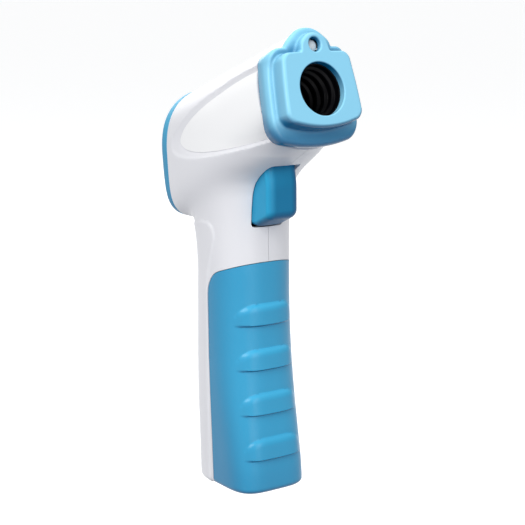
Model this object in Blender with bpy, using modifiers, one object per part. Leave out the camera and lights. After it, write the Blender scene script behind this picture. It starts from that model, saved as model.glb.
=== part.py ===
"""Pistol-shaped infrared thermometer, modelled as the pieces that it comes apart into.

Frame: +Z runs up the grip, the nose faces -Y and the display faces +Y. The origin lies on the
flat underside of the grip. Lengths are written in millimetres and become metres in MM.
"""

import math

import bmesh
import bpy
from mathutils import Matrix, Vector

MM = 0.001

# Driving dimensions -------------------------------------------------------------------------
GAP = 0.3                      # clearance between neighbouring pieces
WALL = 2.0                     # housing wall
AROUND = 36                    # points round a head or grip section

NOSE = Vector((0.0, -40.1, 145.9))          # centre of the sensor aperture, on the nose face
NOSE_PITCH = math.radians(17.03)            # the nose looks up by this angle
BEZEL_DEPTH = 13.0                          # nose face to the bezel's back edge
APERTURE_RADIUS = 8.95
TUBE_RADIUS = 10.3                          # outside of the sensor tube
TUBE_START = 2.8                            # its front, behind the nose face
GUIDE_RISE = 14.9                           # guide-light hole above the aperture
GUIDE_RADIUS = 2.4

HEAD_TOP = (Vector((0.0, -23.4, 157.2)), Vector((0.0, 29.0, 141.0)))       # front, rear
HEAD_BOTTOM = (Vector((0.0, -33.4, 125.6)), Vector((0.0, 24.1, 95.8)))
RIDGE_HEIGHT = 4.9             # sight-like ridge on top of the head, at the nose

# Grip sections: height, front, back, half width, squareness.
GRIP_SECTIONS = (
    (0.0, -15.0, 15.8, 13.7, 4.0),
    (0.5, -15.8, 16.5, 14.5, 4.0),
    (1.8, -16.3, 17.0, 14.9, 4.0),
    (8.0, -15.9, 17.5, 15.0, 3.8),
    (18.0, -14.7, 18.5, 15.1, 3.4),
    (32.0, -12.7, 19.8, 15.3, 3.0),
    (50.0, -11.1, 20.9, 15.4, 2.6),
    (68.0, -10.3, 21.2, 15.5, 2.4),
    (84.0, -9.9, 21.2, 15.6, 2.4),
    (92.0, -9.6, 22.2, 15.9, 2.4),
    (98.0, -9.6, 23.8, 16.3, 2.4),
    (104.0, -10.0, 25.0, 16.8, 2.4),
    (109.0, -10.8, 25.2, 17.2, 2.4),
    (113.0, -12.5, 24.4, 17.3, 2.35),
    (116.5, -15.7, 24.4, 17.2, 2.3),
    (119.5, -20.0, 24.4, 16.9, 2.3),
    (122.5, -24.0, 24.4, 16.2, 2.3),
)

DOOR_TOP = 83.4                # door's top edge at the front of the grip
DOOR_SLOPE = 0.365             # how fast that edge falls towards the back
DOOR_EDGE = 5.8                # y of the door's side edge, upper half
DOOR_CORNER = 9.5              # radius of the door's upper rear corner
DOOR_HINGE = (1.2, 2.2)        # y, z of the door's hinge axis; z is also the knuckle radius
HINGE_PIN_RADIUS = 0.8
KNUCKLE_HALF = 9.0
LUG_END = 12.5
PAD_PITCH = 16.05
PAD_HEIGHT = 7.7
PAD_LOWEST = 12.3
PAD_HALF_WIDTH = 11.6
PAD_RISE = 1.1

TRIGGER_PIVOT = (-10.5, 117.0)              # y, z
TRIGGER_HALF_WIDTH = 6.5
SWITCH_HEIGHT = 102.0
TRIGGER_PIN_RADIUS = 1.0

# Housing screws: y, z of each boss.
SCREWS = ((15.0, 68.0), (13.6, 14.0), (6.7, 141.6), (13.5, 92.0), (-25.0, 126.9))
SCREW_SHANK = 1.15
SCREW_HEAD = 2.2
SCREW_SEAT = 8.9               # x of the counterbore's floor in the right half
BOSS_RADIUS = 2.6

CELL_RADIUS = 5.25             # AAA cell
CELL_BODY = (14.0, 57.5)       # lower and upper end of the cell's can
CELL_X = 5.6
CELL_Y = 3.4
TRAY = ((-11.7, -2.4, 7.6), (11.7, 10.2, 63.6))
BAY = ((-11.15, -5.0, 9.2), (11.15, 9.0, 62.2))

KEY_RADIUS = 2.8
KEY_RISE = -11.2
KEY_SPACING = 8.6

COLOURS = {
    "white_plastic": ((0.86, 0.86, 0.89), 0.35, 0.0),
    "bezel_blue": ((0.31, 0.66, 0.84), 0.35, 0.0),
    "grip_blue": ((0.07, 0.36, 0.60), 0.4, 0.0),
    "trigger_blue": ((0.01, 0.25, 0.45), 0.35, 0.0),
    "label_white": ((0.92, 0.92, 0.92), 0.3, 0.0),
    "black_plastic": ((0.01, 0.01, 0.01), 0.45, 0.0),
    "clear_lens": ((0.75, 0.80, 0.85), 0.05, 0.0),
    "dark_window": ((0.02, 0.03, 0.04), 0.05, 0.0),
    "lcd_glass": ((0.35, 0.42, 0.36), 0.2, 0.0),
    "light_guide": ((0.85, 0.88, 0.85), 0.3, 0.0),
    "key_grey": ((0.45, 0.47, 0.50), 0.5, 0.0),
    "steel": ((0.60, 0.60, 0.62), 0.25, 1.0),
    "board_green": ((0.02, 0.16, 0.07), 0.5, 0.0),
    "cell_jacket": ((0.10, 0.11, 0.13), 0.3, 0.3),
    "lead_red": ((0.60, 0.02, 0.02), 0.5, 0.0),
    "lead_black": ((0.02, 0.02, 0.02), 0.5, 0.0),
}

PARTS = None                   # collection of the finished pieces, made in main


# Frames ---------------------------------------------------------------------------------------
def tilted_frame(origin, up, away):
    """Matrix whose local Y is up and local Z is away, in millimetres."""
    basis = Matrix((-Vector((1.0, 0.0, 0.0)), up, away)).transposed().to_4x4()
    return Matrix.Translation(origin) @ basis


NOSE_UP = Vector((0.0, math.sin(NOSE_PITCH), math.cos(NOSE_PITCH)))
NOSE_BACK = Vector((0.0, math.cos(NOSE_PITCH), -math.sin(NOSE_PITCH)))
NOSE_FRAME = tilted_frame(NOSE, NOSE_UP, NOSE_BACK)

REAR_UP = (HEAD_TOP[1] - HEAD_BOTTOM[1]).normalized()
REAR_OUT = Vector((0.0, REAR_UP.z, -REAR_UP.y))
REAR_FRAME = tilted_frame((HEAD_TOP[1] + HEAD_BOTTOM[1]) / 2, REAR_UP, REAR_OUT)
ALONG_X = Matrix.Rotation(math.radians(90), 4, "Y")
ALONG_Y = Matrix.Rotation(math.radians(-90), 4, "X")


# Blender helpers ------------------------------------------------------------------------------
def finish_material(name):
    """The Principled BSDF material of that name, made on first use."""
    material = bpy.data.materials.get(name)
    if material is None:
        colour, roughness, metallic = COLOURS[name]
        material = bpy.data.materials.new(name)
        material.use_nodes = True
        shader = material.node_tree.nodes["Principled BSDF"]
        shader.inputs["Base Color"].default_value = (*colour, 1.0)
        shader.inputs["Roughness"].default_value = roughness
        shader.inputs["Metallic"].default_value = metallic
    return material


def face_outwards(bm):
    """Reverse a closed bmesh that is inside out."""
    if bm.calc_volume(signed=True) < 0:
        bmesh.ops.reverse_faces(bm, faces=bm.faces)


def object_from(name, bm, finish="steel"):
    """Turn a bmesh in millimetres into an object of the parts collection."""
    face_outwards(bm)
    mesh = bpy.data.meshes.new(name)
    bm.to_mesh(mesh)
    bm.free()
    mesh.transform(Matrix.Scale(MM, 4))
    obj = bpy.data.objects.new(name, mesh)
    PARTS.objects.link(obj)
    mesh.materials.append(finish_material(finish))
    return obj


def apply_modifiers(obj):
    """Replace an object's mesh with what its modifiers make."""
    graph = bpy.context.evaluated_depsgraph_get()
    mesh = bpy.data.meshes.new_from_object(obj.evaluated_get(graph))
    obj.modifiers.clear()
    obj.data = mesh
    return obj


def boolean(target, helper, operation):
    """Cut, join or intersect with a helper object, which is then removed."""
    modifier = target.modifiers.new("shape", "BOOLEAN")
    modifier.operation = operation
    modifier.solver = "EXACT"
    modifier.object = helper
    apply_modifiers(target)
    bpy.data.objects.remove(helper, do_unlink=True)
    return target


def cut(target, helper):
    return boolean(target, helper, "DIFFERENCE")


def join(target, helper):
    return boolean(target, helper, "UNION")


def keep(target, helper):
    return boolean(target, helper, "INTERSECT")


def duplicate(obj, name):
    copy = bpy.data.objects.new(name, obj.data.copy())
    PARTS.objects.link(copy)
    return copy


def round_edges(obj, width, segments=2, angle=35):
    """Bevel the sharp edges of an object."""
    bevel = obj.modifiers.new("edges", "BEVEL")
    bevel.width = width * MM
    bevel.segments = segments
    bevel.limit_method = "ANGLE"
    bevel.angle_limit = math.radians(angle)
    return apply_modifiers(obj)


def shade(obj, angle=35):
    """Smooth shading with sharp edges kept."""
    obj.data.shade_smooth()
    obj.data.set_sharp_from_angle(angle=math.radians(angle))
    return obj


def set_origin(obj, point):
    """Move an object's origin to a point in millimetres without moving its surface."""
    obj.data.transform(Matrix.Translation(-Vector(point) * MM))
    obj.location = Vector(point) * MM
    return obj


# Basic shapes ---------------------------------------------------------------------------------
def loft(name, rings, finish="steel"):
    """Closed solid through rings that have the same number of points."""
    bm = bmesh.new()
    rows = [[bm.verts.new(point) for point in ring] for ring in rings]
    count = len(rows[0])
    for low, high in zip(rows, rows[1:]):
        for i in range(count):
            j = (i + 1) % count
            bm.faces.new((low[i], low[j], high[j], high[i]))
    bm.faces.new(rows[0][::-1])
    bm.faces.new(rows[-1])
    return object_from(name, bm, finish)


def prism(name, outline, half_width, finish="steel", middle=0.0):
    """Side outline of (y, z) points, extruded across X."""
    rings = [[Vector((x, y, z)) for y, z in outline]
             for x in (middle - half_width, middle + half_width)]
    return loft(name, rings, finish)


def box(name, low, high, finish="steel", frame=Matrix()):
    """Box between two corners of a frame."""
    low, high = Vector(low), Vector(high)
    size = high - low
    bm = bmesh.new()
    bmesh.ops.create_cube(bm, size=1.0)
    place = Matrix.Translation((low + high) / 2) @ Matrix.Diagonal((*size, 1.0))
    bm.transform(frame @ place)
    return object_from(name, bm, finish)


def cylinder(name, radius, low, high, finish="steel", frame=Matrix(), segments=24):
    """Cylinder along a frame's local Z, from low to high."""
    bm = bmesh.new()
    bmesh.ops.create_cone(bm, cap_ends=True, segments=segments, radius1=radius,
                          radius2=radius, depth=high - low)
    bm.transform(frame @ Matrix.Translation((0, 0, (low + high) / 2)))
    return object_from(name, bm, finish)


def across(y, z):
    """Frame whose local Z is +X through a point of the side view."""
    return Matrix.Translation((0, y, z)) @ ALONG_X


def turned(name, profile, finish="steel", frame=Matrix(), steps=32, closed=False):
    """Profile of (radius, height) points turned round a frame's local Z."""
    bm = bmesh.new()
    points = [bm.verts.new((radius, 0.0, height)) for radius, height in profile]
    links = list(zip(points, points[1:]))
    if closed:
        links.append((points[-1], points[0]))
    for first, second in links:
        bm.edges.new((first, second))
    obj = object_from(name, bm, finish)
    screw = obj.modifiers.new("turn", "SCREW")
    screw.steps = steps
    screw.render_steps = steps
    screw.use_merge_vertices = True
    screw.merge_threshold = 0.00001
    apply_modifiers(obj)
    solid = bmesh.new()
    solid.from_mesh(obj.data)
    face_outwards(solid)
    solid.to_mesh(obj.data)
    solid.free()
    place = frame.copy()
    place.translation = frame.translation * MM
    obj.data.transform(place)
    return obj


def wire(name, points, radius, finish):
    """Round wire along points, as a closed mesh."""
    curve = bpy.data.curves.new(name, "CURVE")
    curve.dimensions = "3D"
    curve.bevel_depth = radius * MM
    curve.bevel_resolution = 2
    curve.use_fill_caps = True
    spline = curve.splines.new("POLY")
    spline.points.add(len(points) - 1)
    for knot, point in zip(spline.points, points):
        knot.co = (*(Vector(point) * MM), 1.0)
    guide = bpy.data.objects.new(name + "_path", curve)
    PARTS.objects.link(guide)
    graph = bpy.context.evaluated_depsgraph_get()
    mesh = bpy.data.meshes.new_from_object(guide.evaluated_get(graph))
    bpy.data.objects.remove(guide, do_unlink=True)
    bm = bmesh.new()
    bm.from_mesh(mesh)
    bmesh.ops.remove_doubles(bm, verts=bm.verts, dist=0.00001)
    bm.transform(Matrix.Scale(1 / MM, 4))
    return object_from(name, bm, finish)


def smooth_route(points, per_span=4):
    """Catmull-Rom points through a short list of route points."""
    route = [Vector(p) for p in points]
    padded = [route[0] * 2 - route[1], *route, route[-1] * 2 - route[-2]]
    result = []
    for a, b, c, d in zip(padded, padded[1:], padded[2:], padded[3:]):
        for k in range(per_span):
            t = k / per_span
            result.append(0.5 * (2 * b + (c - a) * t + (2 * a - 5 * b + 4 * c - d) * t ** 2
                                 + (3 * b - a - 3 * c + d) * t ** 3))
    return [*result, route[-1]]


# Sections of the housing ----------------------------------------------------------------------
def unit_point(angle, squareness):
    """Point of a superellipse of half sizes 1; angle 0 is at the top."""
    power = 2.0 / squareness
    side, rise = math.sin(angle), math.cos(angle)
    return (math.copysign(abs(side) ** power, side), math.copysign(abs(rise) ** power, rise))


def head_half_width(f):
    """Half width of the head from its front (f = 0) to its rear (f = 1)."""
    return 17.7 + 10.4 * f - 8.9 * f * f


def head_ring(f, inset=0.0):
    """Section of the head at a fraction of its length, moved inwards by inset."""
    top = HEAD_TOP[0].lerp(HEAD_TOP[1], f)
    bottom = HEAD_BOTTOM[0].lerp(HEAD_BOTTOM[1], f)
    up = (top - bottom).normalized()
    centre = (top + bottom) / 2
    half_height = (top - bottom).length / 2 - inset
    half_width = head_half_width(f) - inset
    squareness_top = 2.4 + 0.9 * max(0.0, 1.0 - 2.5 * max(f, 0.0))
    share = min(max(f, 0.0), 1.0)
    squareness_bottom = 2.2 + 2.4 * share * share * (3.0 - 2.0 * share)
    ridge_half = 9.2 + 7.3 * f
    ridge = RIDGE_HEIGHT * (1.0 - 0.92 * min(f, 1.0))
    ring = []
    for k in range(AROUND):
        angle = 2 * math.pi * (k + 0.5) / AROUND
        squareness = squareness_top if math.cos(angle) > 0 else squareness_bottom
        side, rise = unit_point(angle, squareness)
        x = side * half_width
        height = rise * half_height
        if rise > 0:
            height += ridge * max(0.0, 1.0 - (x / ridge_half) ** 2) ** 1.5
        ring.append(centre + up * height + Vector((x, 0.0, 0.0)))
    return ring


def head_solid(name, inset=0.0, front=0.0, rear=1.0, steps=10):
    fractions = [front + (rear - front) * k / steps for k in range(steps + 1)]
    return loft(name, [head_ring(f, inset) for f in fractions], "white_plastic")


def grip_ring(section, inset=0.0, lowest=0.0):
    """Horizontal section of the grip, moved inwards by inset."""
    z, front, back, half_width, squareness = section
    middle, half_depth = (front + back) / 2, (back - front) / 2 - inset
    ring = []
    for k in range(AROUND):
        side, depth = unit_point(2 * math.pi * (k + 0.5) / AROUND, squareness)
        ring.append(Vector((side * (half_width - inset), middle + depth * half_depth,
                            max(z, lowest))))
    return ring


def grip_solid(name, inset=0.0, lowest=0.0, top=200.0):
    sections = [s for s in GRIP_SECTIONS if lowest - 1.0 < s[0] < top]
    return loft(name, [grip_ring(s, inset, lowest) for s in sections], "white_plastic")


def body_solid(name, inset=0.0, overrun=0.0, lowest=0.0):
    """Head and grip together, as one closed body that runs on forwards into the nose."""
    head = head_solid(name, inset, -0.2 - overrun / 4, 1.0 + overrun, 12)
    return join(head, grip_solid(name + "_grip", inset, lowest))


def door_outline(clearance=0.0):
    """Side outline of the grip cover: sloping top edge, round corner, edge down to the hinge.

    With no clearance it is the opening in the housing, which runs straight down past the hinge,
    so that the base plate can swing through. The cover itself ends round the knuckle.
    """
    hinge_y, hinge_z = DOOR_HINGE
    edge = DOOR_EDGE - clearance

    def top_at(y):
        return DOOR_TOP - clearance * 1.07 - DOOR_SLOPE * (y - GRIP_SECTIONS[8][1])

    tilt = math.atan(DOOR_SLOPE)
    corner_y = edge - DOOR_CORNER
    corner_z = top_at(corner_y) - DOOR_CORNER / math.cos(tilt)
    points = [(-60.0, top_at(-60.0))]
    for k in range(7):
        angle = (math.pi / 2 - tilt) * (1 - k / 6)
        points.append((corner_y + DOOR_CORNER * math.cos(angle),
                       corner_z + DOOR_CORNER * math.sin(angle)))
    points.append((edge - 0.2, 48.0))
    radius = hinge_z + GAP - clearance
    points.append((hinge_y + radius, hinge_z + 1.0))
    if clearance > 0:
        for k in range(7):
            angle = math.radians(-90 * k / 6)
            points.append((hinge_y + radius * math.cos(angle),
                           hinge_z + radius * math.sin(angle)))
        points.append((hinge_y, -5.0))
    else:
        points.append((hinge_y + radius, -5.0))
    points.append((-60.0, -5.0))
    return points


def label_outline(grow=0.0):
    """Blunt teardrop behind the nose bezel, as (y, z) points."""
    front, rear = BEZEL_DEPTH + 1.4 - grow, 61.5 + grow
    upper, lower = [], []
    steps = 10
    for k in range(steps + 1):
        q = math.sin(math.pi / 2 * k / steps)
        half = (11.1 + grow) * max(0.0, 1.0 - q ** 1.8) ** 0.55
        middle = -1.25 - 2.6 * q
        depth = front + (rear - front) * q
        upper.append((depth, middle + half))
        lower.append((depth, middle - half))
    flat = upper + lower[-2::-1]
    points = [NOSE + NOSE_BACK * depth + NOSE_UP * rise for depth, rise in flat]
    return [(p.y, p.z) for p in points]


# Housing --------------------------------------------------------------------------------------
def boss_frames():
    return [across(y, z) for y, z in SCREWS]


def joined_cylinders(name, items):
    """Separate cylinders (radius, low, high, frame) as one helper object."""
    bm = bmesh.new()
    for radius, low, high, frame in items:
        place = frame @ Matrix.Translation((0, 0, (low + high) / 2))
        bmesh.ops.create_cone(bm, cap_ends=True, segments=20, radius1=radius, radius2=radius,
                              depth=high - low, matrix=place)
    return object_from(name, bm)


def housing_bosses():
    """Screw bosses, trigger pin bosses and door lugs, trimmed to the outside of the body."""
    pivot = across(*TRIGGER_PIVOT)
    hinge = across(*DOOR_HINGE)
    items = [(BOSS_RADIUS, -24.0, 24.0, frame) for frame in boss_frames()]
    items += [(2.6, 8.0, 24.0, pivot), (2.6, -24.0, -8.0, pivot)]
    items += [(1.9, KNUCKLE_HALF + 0.5, LUG_END, hinge), (1.9, -LUG_END, -KNUCKLE_HALF - 0.5, hinge)]
    return keep(joined_cylinders("bosses", items), body_solid("boss_limit", 0.6))


def counterbores():
    """Recesses for the screw heads, open to the right."""
    return joined_cylinders("counterbores", [(SCREW_HEAD + GAP, SCREW_SEAT, 30.0, frame)
                                             for frame in boss_frames()])


def housing_holes():
    """Bores for the screws, the trigger pin and the hinge pin."""
    items = [(SCREW_SHANK + GAP, -9.6, 9.5, frame) for frame in boss_frames()]
    items.append((TRIGGER_PIN_RADIUS + GAP, -11.4, 11.4, across(*TRIGGER_PIVOT)))
    items.append((HINGE_PIN_RADIUS + GAP, -LUG_END - 1.0, LUG_END + 1.0, across(*DOOR_HINGE)))
    return joined_cylinders("holes", items)


def lug_arms():
    """Arms that carry the hinge lugs from the housing floor."""
    y, z = DOOR_HINGE
    bm = bmesh.new()
    for side in (-1, 1):
        middle = side * (KNUCKLE_HALF + 0.5 + LUG_END) / 2
        place = Matrix.Translation((middle, y + 2.6, z)) @ Matrix.Diagonal((2.9, 5.2, 3.4, 1.0))
        bmesh.ops.create_cube(bm, size=1.0, matrix=place)
    return object_from("lug_arms", bm)


def housing_halves():
    shell = cut(body_solid("housing"), body_solid("hollow", WALL, 0.08, WALL))
    cut(shell, prism("door_opening", door_outline(), 40.0))
    join(shell, housing_bosses())
    join(shell, lug_arms())
    cut(shell, housing_holes())
    cut(shell, counterbores())
    cut(shell, box("trigger_slot", (-TRIGGER_HALF_WIDTH - 0.4, -40.0, 96.0),
                   (TRIGGER_HALF_WIDTH + 0.4, -5.5, 118.6)))
    cut(shell, box("ridge_end", (-45, -60, -70), (45, 50, BEZEL_DEPTH * TAB_SHARE + GAP),
                   frame=NOSE_FRAME))
    cut(shell, box("nose_end", (-40, -55, -60), (40, TAB_RISE + 0.5, BEZEL_DEPTH + GAP),
                   frame=NOSE_FRAME))
    for side in (-1, 1):
        recess = prism("label_recess", label_outline(0.4), 8.0, middle=side * 18.0)
        cut(shell, cut(recess, head_solid("label_floor", 0.9, -0.05, 1.02)))
    for name, side in (("left_housing", -1), ("right_housing", 1)):
        half = duplicate(shell, name)
        middle = side * (30.0 + GAP / 2)
        keep(half, box("half_space", (middle - 30.0, -80, -10), (middle + 30.0, 80, 200)))
        shade(half)
    bpy.data.objects.remove(shell, do_unlink=True)


def side_labels():
    """Blank oval label in the recess on each side."""
    for name, side in (("label_left", -1), ("label_right", 1)):
        label = prism(name, label_outline(), 8.0, "label_white", middle=side * 18.0)
        keep(label, head_solid("label_face", 0.2, -0.05, 1.02))
        shade(cut(label, head_solid("label_back", 0.6, -0.05, 1.02)))


def housing_screws():
    """Self-tapping screws put in from the right."""
    profile = ((0.0, -8.0), (SCREW_SHANK, -7.2), (SCREW_SHANK, SCREW_SEAT + GAP),
               (SCREW_HEAD, SCREW_SEAT + GAP), (SCREW_HEAD, SCREW_SEAT + 1.3),
               (1.4, SCREW_SEAT + 2.0), (0.0, SCREW_SEAT + 2.0))
    for number, frame in enumerate(boss_frames(), 1):
        screw = turned(f"housing_screw_{number}", profile, "steel", frame, 20)
        slot = box("slot", (-0.3, -1.7, SCREW_SEAT + 1.3), (0.3, 1.7, SCREW_SEAT + 3.0),
                   frame=frame)
        shade(cut(screw, slot))


# Nose -----------------------------------------------------------------------------------------
def rounded_outline(corners, segments=4):
    """Right half given as (x, rise, radius) corners from bottom to top, then mirrored."""
    full = [(x, u, r) for x, u, r in corners] + [(-x, u, r) for x, u, r in reversed(corners)]
    points = []
    for k, (x, u, radius) in enumerate(full):
        here = Vector((x, u))
        before = (Vector(full[k - 1][:2]) - here).normalized()
        after = (Vector(full[(k + 1) % len(full)][:2]) - here).normalized()
        half_angle = before.angle(after) / 2
        reach = radius / math.tan(half_angle)
        centre = here + (before + after).normalized() * radius / math.sin(half_angle)
        start = here + before * reach - centre
        end = here + after * reach - centre
        first = math.atan2(start.y, start.x)
        turn = math.atan2(start.x * end.y - start.y * end.x, start.dot(end))
        for step in range(segments + 1):
            angle = first + turn * step / segments
            points.append(centre + radius * Vector((math.cos(angle), math.sin(angle))))
    return points


# Outline corners of the nose plate and of the flange behind it.
PLATE = ((15.4, -9.9, 2.6), (13.7, 12.5, 3.1))
FLANGE = ((17.7, -14.7, 4.6), (15.5, 14.9, 4.6))
PLATE_TAB = ((5.5, 8.0, 1.0), (5.5, 19.0, 5.2))
FLANGE_TAB = ((9.0, 8.0, 1.0), (9.0, 21.3, 8.6))
TAB_RISE = 15.2                # above this the nose is a thin tab in front of the head's ridge
TAB_SHARE = 0.5                # the tab's depth as a share of the flange's


def tab_ring(depth, blend, size):
    """Outline of the tab round the guide light, between its front step and its flange."""
    rows = zip(PLATE_TAB, FLANGE_TAB)
    corners = [tuple(p + (q - p) * blend for p, q in zip(a, b)) for a, b in rows]
    return [NOSE_FRAME @ Vector((x * size, GUIDE_RISE + (rise - GUIDE_RISE) * size,
                                 depth * TAB_SHARE)) for x, rise in rounded_outline(corners)]


def nose_ring(depth, blend, size):
    """Outline between plate (blend 0) and flange (blend 1) at a depth behind the nose face."""
    corners = [tuple(p + (q - p) * blend for p, q in zip(a, b)) for a, b in zip(PLATE, FLANGE)]
    half_width = corners[0][0]
    ring = []
    for point in rounded_outline(corners):
        x, rise = point
        if rise < 0:
            rise -= 2.9 * max(0.0, 1.0 - (x / half_width) ** 2)
        x *= 1.0 + 0.03 * max(0.0, 1.0 - (rise / 12.0) ** 2)
        ring.append(NOSE_FRAME @ Vector((x * size, rise * size, depth)))
    return ring


def nose_bezel():
    """Blue nose cap: raised plate, hollow valley and thick rounded flange."""
    profile = ((0.0, 0.0, 0.95), (0.3, 0.0, 0.98), (1.0, 0.0, 1.0), (4.0, 0.0, 1.004),
               (5.6, 0.1, 1.0), (6.1, 0.35, 1.0), (6.4, 0.7, 1.0), (6.8, 0.9, 1.0),
               (8.0, 1.0, 1.01), (BEZEL_DEPTH - 1.4, 1.0, 0.99), (BEZEL_DEPTH, 1.0, 0.955))
    bezel = loft("nose_bezel", [nose_ring(*row) for row in profile], "bezel_blue")
    join(bezel, loft("nose_tab", [tab_ring(*row) for row in profile]))
    hollow = ((2.4, 0.0, 0.88), (7.6, 0.1, 0.87), (9.4, 0.9, 0.84), (BEZEL_DEPTH + 2, 1.0, 0.87))
    cut(bezel, loft("nose_hollow", [nose_ring(*row) for row in hollow]))
    cut(bezel, box("tab_hollow", (-5.4, 9.0, 2.4), (5.4, 18.6, 20.0), frame=NOSE_FRAME))
    cut(bezel, cylinder("aperture", APERTURE_RADIUS, -2.0, 14.0, frame=NOSE_FRAME, segments=40))
    cut(bezel, cylinder("tube_seat", TUBE_RADIUS + GAP, TUBE_START - GAP, 14.0,
                        frame=NOSE_FRAME, segments=40))
    guide = NOSE_FRAME @ Matrix.Translation((0, GUIDE_RISE, 0))
    cut(bezel, cylinder("guide_hole", GUIDE_RADIUS, -2.0, 14.0, frame=guide))
    return shade(bezel)


def baffle_tube():
    """Black tube behind the aperture, with ring lips that stop stray light."""
    outer, lip = TUBE_RADIUS, 7.7
    profile = [(outer, TUBE_START), (8.7, TUBE_START), (8.7, 5.6)]
    for k in range(4):
        start = 5.6 + 4.6 * k
        shrink = 0.5 * k
        profile += [(lip - shrink, start + 0.4), (lip - shrink, start + 1.2),
                    (8.5 - shrink, start + 1.6), (8.5 - shrink, start + 4.2)]
    profile += [(5.2, 24.4), (5.2, 26.0), (outer, 26.0)]
    return shade(turned("sensor_tube", profile, "black_plastic", NOSE_FRAME, 28, True))


def sensor_group():
    """Infrared lens, thermopile can, its holder and its small board."""
    lens = ((0.0, 26.2), (5.0, 26.3), (6.2, 26.6), (6.2, 27.4), (0.0, 27.4))
    shade(turned("infrared_lens", lens, "dark_window", NOSE_FRAME, 32))
    holder = ((9.6, 26.4), (6.6, 26.4), (6.6, 27.8), (4.9, 27.8), (4.9, 34.0), (9.6, 34.0))
    shade(turned("sensor_holder", holder, "black_plastic", NOSE_FRAME, 32, True))
    can = ((0.0, 28.0), (4.1, 28.1), (4.2, 28.4), (4.2, 33.0), (4.6, 33.1), (4.6, 33.9),
           (0.0, 33.9))
    shade(turned("thermopile_sensor", can, "steel", NOSE_FRAME, 28))
    shade(cylinder("sensor_board", 9.4, 34.3, 35.5, "board_green", NOSE_FRAME, 28))


def guide_light():
    """Aiming light above the aperture: clear lens in the bezel and LED behind it."""
    frame = NOSE_FRAME @ Matrix.Translation((0, GUIDE_RISE, 0))
    lens = ((0.0, 1.5), (1.2, 1.7), (2.0, 2.3), (2.0, 4.2), (0.0, 4.2))
    shade(turned("guide_light_lens", lens, "clear_lens", frame, 24))
    led = ((0.0, 4.6), (1.0, 4.9), (1.5, 5.8), (1.5, 8.8), (1.85, 8.8), (1.85, 9.8), (0.0, 9.8))
    shade(turned("guide_light_led", led, "light_guide", frame, 24))


# Display end ----------------------------------------------------------------------------------
def rear_ring(depth, inset):
    """Rear outline of the head, moved out by depth and inwards by inset."""
    ring = head_ring(1.0, inset)
    return [point + REAR_OUT * depth for point in ring]


def display_bezel():
    """Blue rear frame with the display opening and three key holes."""
    profile = ((GAP, 0.0), (3.2, 0.1), (4.3, 0.7), (4.9, 1.7), (5.2, 3.2), (5.2, 6.0))
    bezel = loft("display_bezel", [rear_ring(*row) for row in profile], "bezel_blue")
    cut(bezel, loft("display_hollow", [rear_ring(-1.0, 2.2), rear_ring(3.4, 2.8)]))
    cut(bezel, box("display_opening", (-11.4, -5.0, 0), (11.4, 13.4, 8), frame=REAR_FRAME))
    holes = [(KEY_RADIUS + GAP, 0.0, 8.0, frame) for frame in key_frames()]
    return shade(cut(bezel, joined_cylinders("key_holes", holes)))


def key_frames():
    return [REAR_FRAME @ Matrix.Translation((x, KEY_RISE, 0))
            for x in (KEY_SPACING, 0.0, -KEY_SPACING)]


def display_group():
    round_edges(box("display_window", (-11.1, -4.7, 3.4), (11.1, 13.1, 4.6), "dark_window",
                    REAR_FRAME), 0.3, 1)
    box("lcd_panel", (-12.0, -6.0, 0.7), (12.0, 13.8, 2.1), "lcd_glass", REAR_FRAME)
    box("lcd_backlight", (-11.8, -5.8, -2.4), (11.8, 13.6, 0.4), "light_guide", REAR_FRAME)
    box("main_board", (-12.0, -15.0, -4.2), (12.0, 14.0, -3.0), "board_green", REAR_FRAME)
    box("microcontroller", (-4.0, -9.0, -5.9), (4.0, -1.0, -4.5), "black_plastic", REAR_FRAME)
    shade(cylinder("buzzer", 5.0, -8.4, -4.5, "black_plastic",
                   REAR_FRAME @ Matrix.Translation((0, 6.0, 0)), 24))


def keys():
    """Three domed push keys and the tactile switches under them."""
    cap = ((0.0, 1.0), (KEY_RADIUS, 1.0), (KEY_RADIUS, 5.2), (2.3, 5.8), (0.0, 6.0))
    for name, frame in zip(("mode", "up", "down"), key_frames()):
        key = shade(turned(f"{name}_key", cap, "key_grey", frame, 24))
        set_origin(key, frame.translation)
        box(f"{name}_switch", (-2.4, -2.4, -2.7), (2.4, 2.4, 0.0), "black_plastic", frame)


# Trigger --------------------------------------------------------------------------------------
def trigger():
    """Trigger that hangs from its pin; its front face runs down to a rounded nose."""
    pivot_y, pivot_z = TRIGGER_PIVOT
    outline = [(-17.6, 117.9), (-18.7, 113.0), (-19.1, 108.0), (-19.1, 104.0)]
    for k in range(5):
        angle = math.radians(190 + 57 * k / 4)
        outline.append((-15.7 + 3.4 * math.cos(angle), 103.6 + 3.4 * math.sin(angle)))
    outline += [(-12.6, 98.1), (-10.6, 97.0), (-6.2, 96.9), (-6.2, 113.6)]
    for k in range(7):
        angle = math.radians(-10 + 150 * k / 6)
        outline.append((pivot_y + 3.0 * math.cos(angle), pivot_z + 3.0 * math.sin(angle)))
    piece = prism("trigger", outline, TRIGGER_HALF_WIDTH, "trigger_blue")
    round_edges(piece, 1.1, 3, 60)
    cut(piece, cylinder("pin_hole", TRIGGER_PIN_RADIUS + GAP, -20, 20,
                        frame=across(*TRIGGER_PIVOT)))
    set_origin(shade(piece), (0.0, *TRIGGER_PIVOT))
    shade(cylinder("trigger_pin", TRIGGER_PIN_RADIUS, -11.1, 11.1, "steel",
                   across(*TRIGGER_PIVOT), 20))


def coil(name, radius, wire_radius, low, high, turns, frame, finish="steel"):
    """Helical spring along a frame's local Z."""
    count = int(8 * turns)
    low, high = low + wire_radius, high - wire_radius
    points = []
    for k in range(count + 1):
        angle = 2 * math.pi * turns * k / count
        height = low + (high - low) * k / count
        points.append(frame @ Vector((radius * math.cos(angle), radius * math.sin(angle), height)))
    return shade(wire(name, points, wire_radius, finish))


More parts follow.
